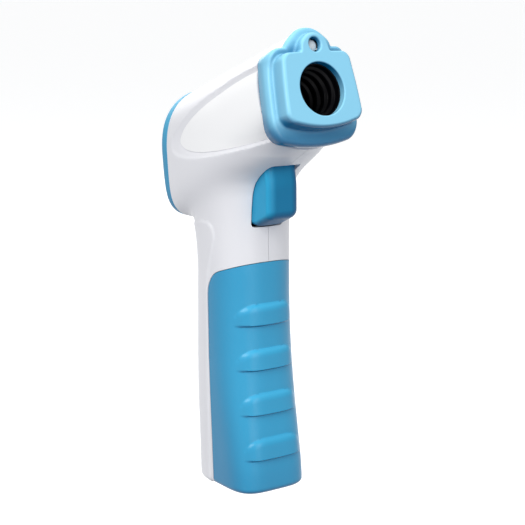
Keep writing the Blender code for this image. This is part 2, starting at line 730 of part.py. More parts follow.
def trigger_switch():
    """Switch behind the trigger, with its sliding plunger, board and the return spring."""
    frame = Matrix.Translation((0, 0, SWITCH_HEIGHT)) @ ALONG_Y
    body = box("trigger_switch", (-3.1, -2.6, SWITCH_HEIGHT - 3.1),
               (3.1, 3.4, SWITCH_HEIGHT + 3.1), "black_plastic")
    cut(body, cylinder("plunger_bore", 1.9, -4.0, 1.6, frame=frame))
    plunger = shade(cylinder("switch_plunger", 1.6, -5.9, -0.9, "key_grey", frame, 20))
    set_origin(plunger, (0.0, -5.9, SWITCH_HEIGHT))
    box("switch_board", (-6.5, 3.7, 95.5), (6.5, 4.9, 112.5), "board_green")
    spring_frame = Matrix.Translation((0, 0, 108.6)) @ ALONG_Y
    coil("trigger_spring", 2.0, 0.3, -5.9, 3.4, 4, spring_frame)


# Battery compartment --------------------------------------------------------------------------
def battery_tray():
    tray = box("battery_tray", *TRAY, "black_plastic")
    cut(tray, box("bay", *BAY))
    for side in (-1, 1):
        frame = Matrix.Translation((side * 3.0, 8.2, 0))
        cut(tray, cylinder("lead_hole", 1.0, 60.0, 66.0, frame=frame, segments=16))


def cells():
    """Two AAA cells side by side, the left one with its pole up."""
    low, high = CELL_BODY
    for name, x, flip in (("battery_left", -CELL_X, 1), ("battery_right", CELL_X, -1)):
        half = (high - low) / 2
        profile = ((0.0, -half), (CELL_RADIUS, -half), (CELL_RADIUS, half), (1.9, half),
                   (1.9, half + 1.0), (0.0, half + 1.0))
        frame = Matrix.Translation((x, CELL_Y, (low + high) / 2))
        if flip < 0:
            frame = frame @ Matrix.Rotation(math.pi, 4, "X")
        shade(turned(name, profile, "cell_jacket", frame, 28))


def contact_strip(name, x_low, x_high, bump_x, base, tip):
    """Flat contact strip across X, with a raised bump that meets a cell's pole."""
    side = 1 if tip > base else -1
    inner = [(x_low, base), (bump_x - 2.6, base), (bump_x - 1.6, tip), (bump_x + 1.6, tip),
             (bump_x + 2.6, base), (x_high, base)]
    outer = [(x, z - side * 0.35) for x, z in reversed(inner)]
    rings = [[Vector((x, y, z)) for x, z in inner + outer] for y in (1.0, 6.0)]
    return loft(name, rings, "steel")


def contacts():
    low, high = CELL_BODY
    lower = Matrix.Translation((-CELL_X, CELL_Y, 0))
    upper = Matrix.Translation((CELL_X, CELL_Y, 0))
    coil("contact_spring_lower", 2.8, 0.3, 10.3, low - 0.3, 3, lower)
    coil("contact_spring_upper", 2.8, 0.3, high + 0.3, 61.9, 3, upper)
    contact_strip("contact_bridge", -10.0, 10.0, CELL_X, 9.95, low - 1.3)
    contact_strip("contact_plate", -10.0, -1.4, -CELL_X, 61.5, high + 1.3)


def leads():
    """Two battery leads and the sensor's flat cable."""
    for name, x, finish in (("lead_red", -3.0, "lead_red"), ("lead_black", 3.0, "lead_black")):
        route = ((x, 8.2, 62.6), (x, 8.2, 70.0), (x * 1.6, 9.0, 84.0), (x * 2.4, 11.0, 98.0),
                 (x * 2.8, 15.5, 105.0), (x * 2.8, 20.4, 108.0))
        shade(wire(name, smooth_route(route), 0.6, finish))
    route = ((0.0, -4.4, 134.4), (0.0, 2.0, 131.0), (3.0, 9.0, 127.0), (8.0, 16.0, 127.0),
             (9.0, 22.0, 128.0))
    shade(wire("sensor_cable", smooth_route(route), 0.9, "light_guide"))


def battery_door():
    """Grip cover: a wrap-round shell with rib pads, a base plate and a hinge knuckle."""
    door = keep(body_solid("battery_door"), prism("door_limit", door_outline(GAP), 40.0))
    pads = loft("pads", [grip_ring(s, -PAD_RISE) for s in GRIP_SECTIONS[3:9]])
    bm = bmesh.new()
    for k in range(4):
        bottom = PAD_LOWEST + PAD_PITCH * k
        place = (Matrix.Translation((0, -20, bottom + PAD_HEIGHT / 2))
                 @ Matrix.Diagonal((2 * PAD_HALF_WIDTH, 30, PAD_HEIGHT, 1)))
        bmesh.ops.create_cube(bm, size=1.0, matrix=place)
    keep(pads, object_from("pad_limits", bm))
    join(door, pads)
    cut(door, grip_solid("door_hollow", WALL, WALL))
    hinge = across(*DOOR_HINGE)
    join(door, cylinder("knuckle", DOOR_HINGE[1], -KNUCKLE_HALF, KNUCKLE_HALF, frame=hinge,
                        segments=28))
    cut(door, cylinder("knuckle_bore", HINGE_PIN_RADIUS + GAP, -30, 30, frame=hinge))
    for side in (-1, 1):
        inner, outer = KNUCKLE_HALF + 0.2, LUG_END + 0.4
        low, high = sorted((side * inner, side * outer))
        cut(door, box("lug_notch", (low, -1.2, -2), (high, 8, 6)))
    door.data.materials.clear()
    door.data.materials.append(finish_material("grip_blue"))
    set_origin(shade(door), (0.0, *DOOR_HINGE))
    shade(cylinder("door_hinge_pin", HINGE_PIN_RADIUS, -LUG_END + 0.2, LUG_END - 0.2, "steel",
                   hinge, 16))


def main():
    global PARTS
    for item in list(bpy.data.objects):
        bpy.data.objects.remove(item, do_unlink=True)
    PARTS = bpy.data.collections.new("infrared_thermometer")
    bpy.context.scene.collection.children.link(PARTS)
    housing_halves()
    side_labels()
    housing_screws()
    nose_bezel()
    baffle_tube()
    sensor_group()
    guide_light()
    display_bezel()
    display_group()
    keys()
    trigger()
    trigger_switch()
    battery_tray()
    cells()
    contacts()
    leads()
    battery_door()


main()
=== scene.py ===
import math

import bmesh
import bpy
import numpy as np
from mathutils import Matrix, Vector


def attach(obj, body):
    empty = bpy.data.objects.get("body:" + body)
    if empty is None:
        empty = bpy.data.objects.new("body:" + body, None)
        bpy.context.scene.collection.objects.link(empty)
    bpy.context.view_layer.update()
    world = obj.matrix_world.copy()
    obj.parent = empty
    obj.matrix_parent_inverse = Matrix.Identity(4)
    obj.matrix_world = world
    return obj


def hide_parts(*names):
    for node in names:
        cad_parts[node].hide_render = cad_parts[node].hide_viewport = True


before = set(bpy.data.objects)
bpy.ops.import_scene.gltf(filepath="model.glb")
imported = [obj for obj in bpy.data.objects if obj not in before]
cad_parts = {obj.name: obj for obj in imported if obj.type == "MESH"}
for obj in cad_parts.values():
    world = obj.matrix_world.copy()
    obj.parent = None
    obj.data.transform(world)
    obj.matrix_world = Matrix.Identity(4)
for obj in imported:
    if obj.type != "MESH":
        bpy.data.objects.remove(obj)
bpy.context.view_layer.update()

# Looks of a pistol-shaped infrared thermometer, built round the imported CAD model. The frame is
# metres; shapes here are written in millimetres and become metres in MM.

MM = 0.001
WELD = 0.01                    # points closer than this are one point

# Driving dimensions, in millimetres, the same as the CAD's -----------
GAP = 0.3
NOSE = np.array([0.0, -40.1, 145.9])        # centre of the sensor aperture, on the nose face
NOSE_PITCH = math.radians(17.03)
NOSE_UP = np.array([0.0, math.sin(NOSE_PITCH), math.cos(NOSE_PITCH)])
NOSE_BACK = np.array([0.0, math.cos(NOSE_PITCH), -math.sin(NOSE_PITCH)])
BEZEL_DEPTH = 13.0
APERTURE_RADIUS = 8.95
TUBE_RADIUS = 10.3
TUBE_START = 2.8
GUIDE_RISE = 14.9
GUIDE_RADIUS = 2.4

HEAD_TOP = np.array([[-23.4, 157.2], [29.0, 141.0]])       # y, z at the front and at the rear
HEAD_BOTTOM = np.array([[-33.4, 125.6], [24.1, 95.8]])
RIDGE_HEIGHT = 4.9

# Grip sections: height, front, back, half width, squareness.
GRIP = np.array([
    (1.8, -16.3, 17.0, 14.9, 4.0),
    (8.0, -15.9, 17.5, 15.0, 3.8),
    (18.0, -14.7, 18.5, 15.1, 3.4),
    (32.0, -12.7, 19.8, 15.3, 3.0),
    (50.0, -11.1, 20.9, 15.4, 2.6),
    (68.0, -10.3, 21.2, 15.5, 2.4),
    (84.0, -9.9, 21.2, 15.6, 2.4),
    (92.0, -9.6, 22.2, 15.9, 2.4),
    (98.0, -9.6, 23.8, 16.3, 2.4),
    (104.0, -10.0, 25.0, 16.8, 2.4),
    (109.0, -10.8, 25.2, 17.2, 2.4),
    (113.0, -12.5, 24.4, 17.3, 2.35),
    (116.5, -15.7, 24.4, 17.2, 2.3),
    (119.5, -20.0, 24.4, 16.9, 2.3),
    (122.5, -24.0, 24.4, 16.2, 2.3),
])
BASE_ROUNDING = 1.8            # rounding of the grip's bottom edge
FLOOR_DROP = 18.0              # floor below the grip, so that the open cover hangs clear of it

WALL = 2.0
BLEND = 7.0                    # fillet between head and grip
SKIN_STEP = 0.6                # spacing of the points on the housing's outside

LABEL_FRONT = 14.4             # depth behind the nose face
LABEL_REAR = 61.5
RIM_REAR = 67.6
RECESS = 1.35                  # how deep the label lies
LABEL_MIDDLE = -1.25           # rise of its axis at the front
LABEL_DROP = 2.6               # how far the axis falls to the rear
LABEL_HALF = 11.1              # half height at the front
LABEL_POWER = 1.8
LABEL_PROUD = 0.3              # the label's face above the recess floor
LABEL_SUNK = 0.1

# Panel on the grip's back: y of its front edge at heights z, and how far it stands out.
PANEL_FRONT = ((60.0, 76.0, 80.0, 84.0, 88.0, 91.0, 98.0), (5.8, 5.6, 5.0, 3.7, 2.3, 1.5, 1.4))
PANEL_RISE = 0.45
PANEL_TOP = 96.9
PANEL_CORNER = 3.6
PANEL_STEP = 0.7               # width of its soft edge

DOOR_TOP = 83.4
DOOR_SLOPE = 0.365
DOOR_EDGE = 5.8
DOOR_CORNER = 9.5
DOOR_FRONT = -9.9              # y of the grip's front at the height of the door's top
DOOR_THICKNESS = 2.0
DOOR_HINGE = (1.2, 2.2)
KNUCKLE_HALF = 9.0
LUG_END = 12.5
PAD_PITCH = 16.05
PAD_HEIGHT = 7.7
PAD_LOWEST = 12.3
PAD_HALF_WIDTH = 11.6
PAD_RISE = 1.15

TRIGGER_PIVOT = (-10.5, 117.0)
TRIGGER_HALF_WIDTH = 6.5
SLOT_LOW, SLOT_HIGH = 95.8, 118.6

SCREWS = ((15.0, 68.0), (13.6, 14.0), (6.7, 141.6), (13.5, 92.0), (-25.0, 126.9))
SCREW_SEAT = 8.9
SCREW_HOLE = 2.5
BOSS_RADIUS = 2.6
BORE_RADIUS = 1.45
BOSS_REACH = 24.0              # past the housing's sides; trimmed to its inside
LUG_RADIUS = 1.9

KEY_RADIUS = 2.8
KEY_RISE = -11.2
KEY_SPACING = 8.6
DISPLAY_HALF_WIDTH = 11.4
DISPLAY_LOW, DISPLAY_HIGH = -5.0, 13.4

REAR_UP = np.append(0.0, HEAD_TOP[1] - HEAD_BOTTOM[1])
REAR_UP /= np.linalg.norm(REAR_UP)
REAR_OUT = np.array([0.0, REAR_UP[2], -REAR_UP[1]])
REAR_CENTRE = np.append(0.0, (HEAD_TOP[1] + HEAD_BOTTOM[1]) / 2)

ALONG_X = Matrix.Rotation(math.radians(90), 4, "Y")


def tilted_frame(origin, up, out):
    """Frame with local Y along up and local Z along out."""
    side = np.cross(up, out)
    columns = [list(side) + [0.0], list(up) + [0.0], list(out) + [0.0], list(origin) + [1.0]]
    return Matrix(columns).transposed()


NOSE_FRAME = tilted_frame(NOSE, NOSE_UP, NOSE_BACK)
REAR_FRAME = tilted_frame(REAR_CENTRE, REAR_UP, REAR_OUT)


def across(y, z):
    """Frame whose local Z lies along world X, at a side-view point."""
    return Matrix.Translation((0.0, y, z)) @ ALONG_X


# Mesh helpers --------------------------------------------------------
def new_object(name, points, faces):
    """Mesh object from millimetre points; faces are index tuples."""
    mesh = bpy.data.meshes.new(name)
    points = np.asarray(points, float) * MM
    mesh.from_pydata([tuple(p) for p in points], [], [tuple(map(int, f)) for f in faces])
    mesh.validate()
    obj = bpy.data.objects.new(name, mesh)
    bpy.context.scene.collection.objects.link(obj)
    return obj


def in_frame(place, points):
    """Points of a local frame, in the row frame."""
    matrix = np.array(place)
    return np.asarray(points, float) @ matrix[:3, :3].T + matrix[:3, 3]


def bands(rows, count, closed=False):
    """Quads between rings of equal point counts; closed joins the last ring to the first."""
    faces = []
    for row in range(rows if closed else rows - 1):
        near, far = row * count, (row + 1) % rows * count
        for k in range(count):
            n = (k + 1) % count
            faces.append((near + k, near + n, far + n, far + k))
    return faces


def loft(name, rings):
    """Closed skin over rings of equal point counts."""
    count = len(rings[0])
    first, last = range(count), range((len(rings) - 1) * count, len(rings) * count)
    faces = bands(len(rings), count) + [tuple(first)[::-1], tuple(last)]
    return face_outwards(new_object(name, np.concatenate(rings), faces))


def face_outwards(obj):
    """Turns all faces round if the mesh's signed volume is negative."""
    bm = bmesh.new()
    bm.from_mesh(obj.data)
    if bm.calc_volume(signed=True) < 0:
        bmesh.ops.reverse_faces(bm, faces=bm.faces)
    bm.to_mesh(obj.data)
    bm.free()
    return obj


def two_layers(face, back):
    """Two grids of points joined along their side edges: points, faces, and a point's index."""
    rows, row_length = face.shape[:2]
    columns = row_length - 1
    faces = []

    def at(i, j, layer=0):
        return (layer * rows + i) * row_length + j

    for i in range(rows - 1):
        for j in range(columns):
            faces.append((at(i, j), at(i, j + 1), at(i + 1, j + 1), at(i + 1, j)))
            faces.append((at(i, j, 1), at(i + 1, j, 1), at(i + 1, j + 1, 1), at(i, j + 1, 1)))
        faces.append((at(i, 0), at(i + 1, 0), at(i + 1, 0, 1), at(i, 0, 1)))
        faces.append((at(i, columns), at(i, columns, 1), at(i + 1, columns, 1),
                      at(i + 1, columns)))
    return np.concatenate([face.reshape(-1, 3), back.reshape(-1, 3)]), faces, at


def weld(obj, dissolve=False):
    """Merges points that coincide, and turns the faces outwards."""
    bm = bmesh.new()
    bm.from_mesh(obj.data)
    bmesh.ops.remove_doubles(bm, verts=bm.verts, dist=WELD * MM)
    if dissolve:
        bmesh.ops.dissolve_degenerate(bm, edges=bm.edges, dist=WELD * MM)
    bm.to_mesh(obj.data)
    bm.free()
    return face_outwards(obj)


def turned(name, profile, place, segments=64):
    """Lathe form round a frame's local Z from (radius, height) rows; a ring if it ends off axis."""
    on_axis = profile[0][0] == 0.0 and profile[-1][0] == 0.0
    rows = profile[1:-1] if on_axis else profile
    rings = []
    for radius, height in rows:
        angles = 2 * math.pi * np.arange(segments) / segments
        ring = np.stack([radius * np.cos(angles), radius * np.sin(angles),
                         np.full(segments, height)], axis=1)
        rings.append(in_frame(place, ring))
    points = np.concatenate(rings)
    faces = bands(len(rings), segments, not on_axis)
    if on_axis:
        tips = in_frame(place, [(0, 0, profile[0][1]), (0, 0, profile[-1][1])])
        first, end = len(points), len(points) + 1
        last = first - segments
        points = np.concatenate([points, tips])
        for k in range(segments):
            n = (k + 1) % segments
            faces += [(first, n, k), (end, last + k, last + n)]
    return face_outwards(new_object(name, points, faces))


def rounded(profile, radius, steps=4):
    """Profile with its corners rounded by up to radius."""
    points = [np.array(p, float) for p in profile]
    result = [points[0]]
    for before, here, after in zip(points, points[1:], points[2:]):
        back, on = np.linalg.norm(before - here), np.linalg.norm(after - here)
        reach = min(radius, back * 0.45, on * 0.45)
        start = here + (before - here) / back * reach
        end = here + (after - here) / on * reach
        for k in range(steps + 1):
            t = k / steps
            result.append((1 - t) ** 2 * start + 2 * t * (1 - t) * here + t ** 2 * end)
    result.append(points[-1])
    return [tuple(p) for p in result]


def boolean(target, tool, operation):
    """Applies a boolean and removes the tool."""
    step = target.modifiers.new(operation, "BOOLEAN")
    step.operation = operation
    step.solver = "MANIFOLD"
    step.object = tool
    apply_modifiers(target)
    bpy.data.objects.remove(tool, do_unlink=True)
    return target


def cut(target, tool):
    return boolean(target, tool, "DIFFERENCE")


def keep(target, tool):
    return boolean(target, tool, "INTERSECT")


def join(target, tool):
    return boolean(target, tool, "UNION")


def apply_modifiers(obj):
    graph = bpy.context.evaluated_depsgraph_get()
    mesh = bpy.data.meshes.new_from_object(obj.evaluated_get(graph))
    obj.modifiers.clear()
    old = obj.data
    obj.data = mesh
    bpy.data.meshes.remove(old)


def box(name, low, high, place=None):
    """Plain box used as a boolean tool."""
    corners = [(x, y, z) for x in (low[0], high[0]) for y in (low[1], high[1])
               for z in (low[2], high[2])]
    faces = ((0, 1, 3, 2), (4, 6, 7, 5), (0, 4, 5, 1), (2, 3, 7, 6), (0, 2, 6, 4), (1, 5, 7, 3))
    points = in_frame(place, corners) if place is not None else corners
    return face_outwards(new_object(name, points, faces))


def prism(name, outline, low, high, place):
    """Outline of local (x, y) points, drawn out along the frame's local Z."""
    rings = [in_frame(place, [(x, y, height) for x, y in outline]) for height in (low, high)]
    return loft(name, rings)


def finish_mesh(obj, angle=32.0, bevel=0.0, segments=3):
    """Smooth shading with sharp edges above an angle, and a small bevel if asked for."""
    if bevel:
        step = obj.modifiers.new("edges", "BEVEL")
        step.width = bevel * MM
        step.segments = segments
        step.limit_method = "ANGLE"
        step.angle_limit = math.radians(angle)
        step.harden_normals = False
        apply_modifiers(obj)
    obj.data.polygons.foreach_set("use_smooth", [True] * len(obj.data.polygons))
    obj.data.set_sharp_from_angle(angle=math.radians(angle))
    step = obj.modifiers.new("normals", "WEIGHTED_NORMAL")
    step.keep_sharp = True
    step.weight = 80
    apply_modifiers(obj)
    return obj


# The housing's skin as a field: negative inside, about millimetres outside ----
def smooth_min(a, b, width):
    h = np.maximum(width - np.abs(a - b), 0.0) / width
    return np.minimum(a, b) - h ** 3 * width / 6


def smooth_step(t):
    t = np.clip(t, 0.0, 1.0)
    return t * t * (3 - 2 * t)


def along_grip(z, column):
    """Smooth interpolation of one column of the grip sections."""
    heights, values = GRIP[:, 0], GRIP[:, column]
    slopes = np.gradient(values, heights)
    z = np.clip(z, heights[0], heights[-1])
    i = np.clip(np.searchsorted(heights, z) - 1, 0, len(heights) - 2)
    span = heights[i + 1] - heights[i]
    t = (z - heights[i]) / span
    return ((2 * t ** 3 - 3 * t ** 2 + 1) * values[i] + (t ** 3 - 2 * t ** 2 + t) * span * slopes[i]
            + (3 * t ** 2 - 2 * t ** 3) * values[i + 1] + (t ** 3 - t ** 2) * span * slopes[i + 1])


def head_half_width(f):
    """Half width of the head at fraction f of its length."""
    return 17.7 + 10.4 * f - 8.9 * f * f


def ridge_half_width(f):
    return 9.2 + 7.3 * f


def ridge_height(f):
    return RIDGE_HEIGHT * (1 - 0.92 * f)


def head_place(y, z):
    """Fraction along the head, signed rise from its middle, and half height there."""
    start, along = HEAD_BOTTOM[0], HEAD_BOTTOM[1] - HEAD_BOTTOM[0]
    up = HEAD_TOP[0] - HEAD_BOTTOM[0]
    twist = HEAD_TOP[1] - HEAD_BOTTOM[1] - up
    py, pz = y - start[0], z - start[1]
    a = along[0] * twist[1] - along[1] * twist[0]
    b = along[0] * up[1] - along[1] * up[0] - (py * twist[1] - pz * twist[0])
    c = pz * up[0] - py * up[1]
    root = np.sqrt(np.maximum(b * b - 4 * a * c, 0.0))
    f = -2 * c / (b + root)
    rise = (pz - f * along[1]) / (up[1] + f * twist[1])
    half = np.hypot(up[0] + f * twist[0], up[1] + f * twist[1]) / 2
    return f, (2 * rise - 1) * half, half


def head_field(points):
    """Superellipse sections with a ridge on top, squarer at the nose's top and the rear's foot."""
    x, y, z = points[..., 0], points[..., 1], points[..., 2]
    f, rise, half = head_place(y, z)
    f = np.clip(f, -0.2, 1.15)
    width = head_half_width(f)
    ridge = np.maximum(0.0, 1 - (x / ridge_half_width(f)) ** 2) ** 1.5
    ridge = ridge_height(np.clip(f, 0, 1)) * ridge
    upper = rise > 0
    squareness = np.where(upper, 2.4 + 0.9 * np.maximum(0.0, 1 - 2.5 * np.maximum(f, 0)),
                          2.2 + 2.4 * smooth_step(f))
    height = np.where(upper, rise / (half + ridge), -rise / half)
    reach = (np.abs(x / width) ** squareness + np.abs(height) ** squareness) ** (1 / squareness)
    return (reach - 1) * np.minimum(width, half)


def grip_field(points):
    """Superellipse sections of the grip, with a rounded bottom edge."""
    x, y, z = points[..., 0], points[..., 1], points[..., 2]
    front, back, width, squareness = (along_grip(z, column) for column in (1, 2, 3, 4))
    middle, depth = (front + back) / 2, (back - front) / 2
    reach = (np.abs(x / width) ** squareness + np.abs((y - middle) / depth) ** squareness)
    side = (reach ** (1 / squareness) - 1) * np.minimum(width, depth)
    side = -smooth_min(-side, GRIP[-1, 0] - z, 4.0)
    inset = np.maximum(side + BASE_ROUNDING, 0.0)
    drop = np.maximum(BASE_ROUNDING - z, 0.0)
    rounded_edge = np.hypot(inset, drop) - BASE_ROUNDING
    return np.where((side > -BASE_ROUNDING) & (z < BASE_ROUNDING), rounded_edge,
                    np.maximum(side, -z))


def nose_coordinates(points):
    """Depth behind the nose face and rise above the aperture's axis."""
    offset = points - NOSE
    return offset @ NOSE_BACK, offset @ NOSE_UP


def oval(depth, rise, reach, half, middle, drop, power):
    """Blunt teardrop: negative inside, about millimetres outside."""
    q = np.maximum(depth - LABEL_FRONT, 0.0) / (reach - LABEL_FRONT)
    off = np.abs(rise - middle + drop[0] * q + drop[1] * q ** 3) / half
    value = off ** 1.82 + q ** power - 1
    slope = np.hypot(1.82 * off ** 0.82 / half, power * q ** (power - 1) / (reach - LABEL_FRONT))
    return value / np.maximum(slope, 0.02)


def label_oval(depth, rise):
    return oval(depth, rise, LABEL_REAR, LABEL_HALF, LABEL_MIDDLE, (LABEL_DROP, 0.0),
                LABEL_POWER)


def rim_oval(depth, rise):
    return oval(depth, rise, RIM_REAR, 12.4, -1.1, (LABEL_DROP, 1.2), 1.9)


def recess_depth(points):
    """Sloping rim and sunk floor for the side labels."""
    depth, rise = nose_coordinates(points)
    outside_label = np.maximum(label_oval(depth, rise), 0.0)
    inside_rim = np.maximum(-rim_oval(depth, rise), 0.0)
    t = inside_rim / np.maximum(inside_rim + outside_label, 0.001)
    ramp = t + 0.06 * np.sin(2 * math.pi * t)
    return RECESS * ramp * smooth_step((np.abs(points[..., 0]) - 8.0) / 4.0)


def back_panel(points):
    """1 on the raised panel down the grip's back, 0 outside it, with a soft step between."""
    y, z = points[..., 1], points[..., 2]
    ahead = np.interp(z, *PANEL_FRONT) - y
    above = z - (PANEL_TOP - 0.02 * (y - 6.5) ** 2)
    reach = np.hypot(np.maximum(ahead + PANEL_CORNER, 0.0), np.maximum(above + PANEL_CORNER, 0.0))
    return smooth_step(0.5 - (reach - PANEL_CORNER) / PANEL_STEP)


def body_field(points):
    whole = smooth_min(head_field(points), grip_field(points), BLEND)
    return whole + recess_depth(points) - PANEL_RISE * back_panel(points)


def gradient(field, points, reach=0.05):
    parts = []
    for axis in range(3):
        step = np.zeros(3)
        step[axis] = reach
        parts.append((field(points + step) - field(points - step)) / (2 * reach))
    return np.stack(parts, axis=-1)


def settle(field, points, rounds=3, limit=0.6):
    """Moves points along the field's slope onto its zero surface."""
    for _ in range(rounds):
        slope = gradient(field, points)
        move = field(points)[:, None] * slope / np.maximum((slope ** 2).sum(1), 0.04)[:, None]
        points = points - np.clip(move, -limit, limit)
    return points


def surface_net(field, low, high, step, relax=2):
    """Closed quad mesh of a field's zero surface, with points settled on it."""
    axes = [np.arange(a, b + step, step) for a, b in zip(low, high)]
    grid = np.stack(np.meshgrid(*axes, indexing="ij"), axis=-1)
    inside = np.stack([field(layer) < 0 for layer in grid])
    shape = np.array(inside.shape) - 1
    total = np.zeros(shape, int)
    for i in (0, 1):
        for j in (0, 1):
            for k in (0, 1):
                total += inside[i:i + shape[0], j:j + shape[1], k:k + shape[2]]
    mixed = (total > 0) & (total < 8)
    index = np.full(shape, -1)
    index[mixed] = np.arange(mixed.sum())
    points = np.argwhere(mixed) * step + np.array(low) + step / 2
    quads = []
    for axis in range(3):
        first, second = (axis + 1) % 3, (axis + 2) % 3
        near = [slice(1, -1)] * 3
        near[axis] = slice(0, -1)
        far = list(near)
        far[axis] = slice(1, None)
        crossing = inside[tuple(near)] != inside[tuple(far)]
        place = np.argwhere(crossing)
        place[:, first] += 1
        place[:, second] += 1
        outward = inside[tuple(place.T)]
        corners = []
        for a, b in ((0, 0), (-1, 0), (-1, -1), (0, -1)):
            corner = place.copy()
            corner[:, first] += a
            corner[:, second] += b
            corners.append(index[tuple(corner.T)])
        quad = np.stack(corners, axis=1)
        quads.append(np.where(outward[:, None], quad, quad[:, ::-1]))
    quads = np.concatenate(quads)
    points = settle(field, points, 4)
    edges = np.concatenate([quads[:, [0, 1]], quads[:, [1, 2]], quads[:, [2, 3]], quads[:, [3, 0]]])
    for _ in range(relax):
        total = np.zeros_like(points)
        number = np.zeros(len(points))
        for a, b in ((0, 1), (1, 0)):
            np.add.at(total, edges[:, a], points[edges[:, b]])
            np.add.at(number, edges[:, a], 1)
        points = settle(field, 0.4 * points + 0.6 * total / number[:, None], 2)
    return points, quads


def skin(name, inset=0.0, step=SKIN_STEP, relax=2):
    """Head and grip as one closed body, a little longer than the housing at nose and rear."""
    def field(points):
        depth, _ = nose_coordinates(points)
        rear = (points - REAR_CENTRE) @ REAR_OUT
        ends = np.maximum(BEZEL_DEPTH * TAB_SHARE - 2.0 - depth, rear - 3.0)
        if inset:
            whole = smooth_min(head_field(points), grip_field(points), BLEND)
            return np.maximum(whole + inset, ends)
        return np.maximum(body_field(points), ends)
    points, quads = surface_net(field, (-21.5, -41.0, -1.5), (21.5, 36.0, 168.0), step, relax)
    return face_outwards(new_object(name, points, quads))


# Housing -------------------------------------------------------------
def door_outline(clearance=0.0):
    """Side outline of the grip cover; without clearance it is the opening in the housing."""
    hinge_y, hinge_z = DOOR_HINGE
    edge = DOOR_EDGE - clearance

    def top_at(y):
        return DOOR_TOP - clearance * 1.07 - DOOR_SLOPE * (y - DOOR_FRONT)

    tilt = math.atan(DOOR_SLOPE)
    corner_y = edge - DOOR_CORNER
    corner_z = top_at(corner_y) - DOOR_CORNER / math.cos(tilt)
    points = [(-60.0, top_at(-60.0))]
    for k in range(13):
        angle = (math.pi / 2 - tilt) * (1 - k / 12)
        points.append((corner_y + DOOR_CORNER * math.cos(angle),
                       corner_z + DOOR_CORNER * math.sin(angle)))
    points.append((edge - 0.2, 48.0))
    points.append((hinge_y + hinge_z + GAP - clearance, hinge_z + 1.0))
    points.append((hinge_y + hinge_z + GAP - clearance, -5.0))
    points.append((-60.0, -5.0))
    return points


def side_prism(name, outline, half_width):
    """Side-view outline of (y, z) points, drawn out to both sides."""
    return prism(name, [(-z, y) for y, z in outline], -half_width, half_width, across(0.0, 0.0))


def rounded_rectangle(low, high, radius, steps=6):
    """Outline of (x, y) points."""
    corners = ((high[0] - radius, high[1] - radius, 0), (low[0] + radius, high[1] - radius, 90),
               (low[0] + radius, low[1] + radius, 180), (high[0] - radius, low[1] + radius, 270))
    outline = []
    for x, y, start in corners:
        for k in range(steps + 1):
            angle = math.radians(start + 90 * k / steps)
            outline.append((x + radius * math.cos(angle), y + radius * math.sin(angle)))
    return outline


def rod(name, radius, low, high, place, segments=48):
    return turned(name, ((0, low), (radius, low), (radius, high), (0, high)), place, segments)


def housing():
    """Both housing halves: one detailed skin, hollowed, opened and split."""
    shell = cut(skin("housing"), skin("hollow", WALL, 1.2, 1))
    inner = skin("inner", WALL - 0.1, 1.2, 1)
    bosses = rod("boss", BOSS_RADIUS, -BOSS_REACH, BOSS_REACH, across(*SCREWS[0]))
    for place in SCREWS[1:]:
        join(bosses, rod("boss", BOSS_RADIUS, -BOSS_REACH, BOSS_REACH, across(*place)))
    pivot, hinge = across(*TRIGGER_PIVOT), across(*DOOR_HINGE)
    y, z = DOOR_HINGE
    cut(shell, side_prism("door_opening", door_outline(), 40.0))
    for side in (-1, 1):
        ends = sorted((side * 8.0, side * BOSS_REACH))
        join(bosses, rod("pin_boss", BOSS_RADIUS, *ends, pivot))
    join(shell, keep(bosses, inner))
    for side in (-1, 1):
        ends = sorted((side * (KNUCKLE_HALF + 0.5), side * LUG_END))
        join(shell, rod("lug", LUG_RADIUS, *ends, hinge))
        join(shell, box("lug_arm", (ends[0] + 0.02, y, z - 1.7),
                        (ends[1] - 0.02, y + 5.2, z + 1.7)))
        cut(shell, rod("lug_hole", 1.1, ends[0] - 1, ends[1] + 1, hinge))
    for place in SCREWS:
        cut(shell, turned("counterbore", ((0, SCREW_SEAT), (SCREW_HOLE, SCREW_SEAT),
                                          (SCREW_HOLE, 30), (0, 30)), across(*place), 48))
        cut(shell, rod("bore", BORE_RADIUS, -9.6, 9.5, across(*place), 32))
    slot = rounded_rectangle((-TRIGGER_HALF_WIDTH - 0.25, SLOT_LOW),
                             (TRIGGER_HALF_WIDTH + 0.25, SLOT_HIGH), 1.5)
    along_y = Matrix.Rotation(math.radians(90), 4, "X")
    cut(shell, prism("trigger_slot", slot, 5.5, 60.0, along_y))
    ridge_start = BEZEL_DEPTH * TAB_SHARE + 0.1
    cut(shell, box("nose_end", (-40, -30, -60), (40, TAB_RISE + 0.5, BEZEL_DEPTH + GAP),
                   NOSE_FRAME))
    cut(shell, box("ridge_end", (-40, TAB_RISE, -60), (40, 30, ridge_start), NOSE_FRAME))
    cut(shell, box("rear_end", (-40, -40, 0), (40, 40, 60), REAR_FRAME))
    parting = 0.07
    for name, side in (("left", -1), ("right", 1)):
        half = shell.copy()
        half.data = shell.data.copy()
        half.name = f"{name}_housing_shell"
        bpy.context.scene.collection.objects.link(half)
        ends = sorted((side * parting, side * 60.0))
        keep(half, box("half_space", (ends[0], -80, -10), (ends[1], 80, 200)))
        finish_mesh(half, 38.0)
        dress(half, "body", "white_plastic", f"{name}_housing")
    bpy.data.objects.remove(shell, do_unlink=True)


def side_surface(depth, rise, side):
    """Points on the housing's side at given nose coordinates."""
    base = NOSE + np.multiply.outer(depth, NOSE_BACK) + np.multiply.outer(rise, NOSE_UP)
    low = np.full(depth.shape, 6.0)
    high = np.full(depth.shape, 24.0)
    for _ in range(30):
        middle = (low + high) / 2
        points = base.copy()
        points[..., 0] = middle
        outside = body_field(points) > 0
        high = np.where(outside, middle, high)
        low = np.where(outside, low, middle)
    base[..., 0] = side * low
    return base


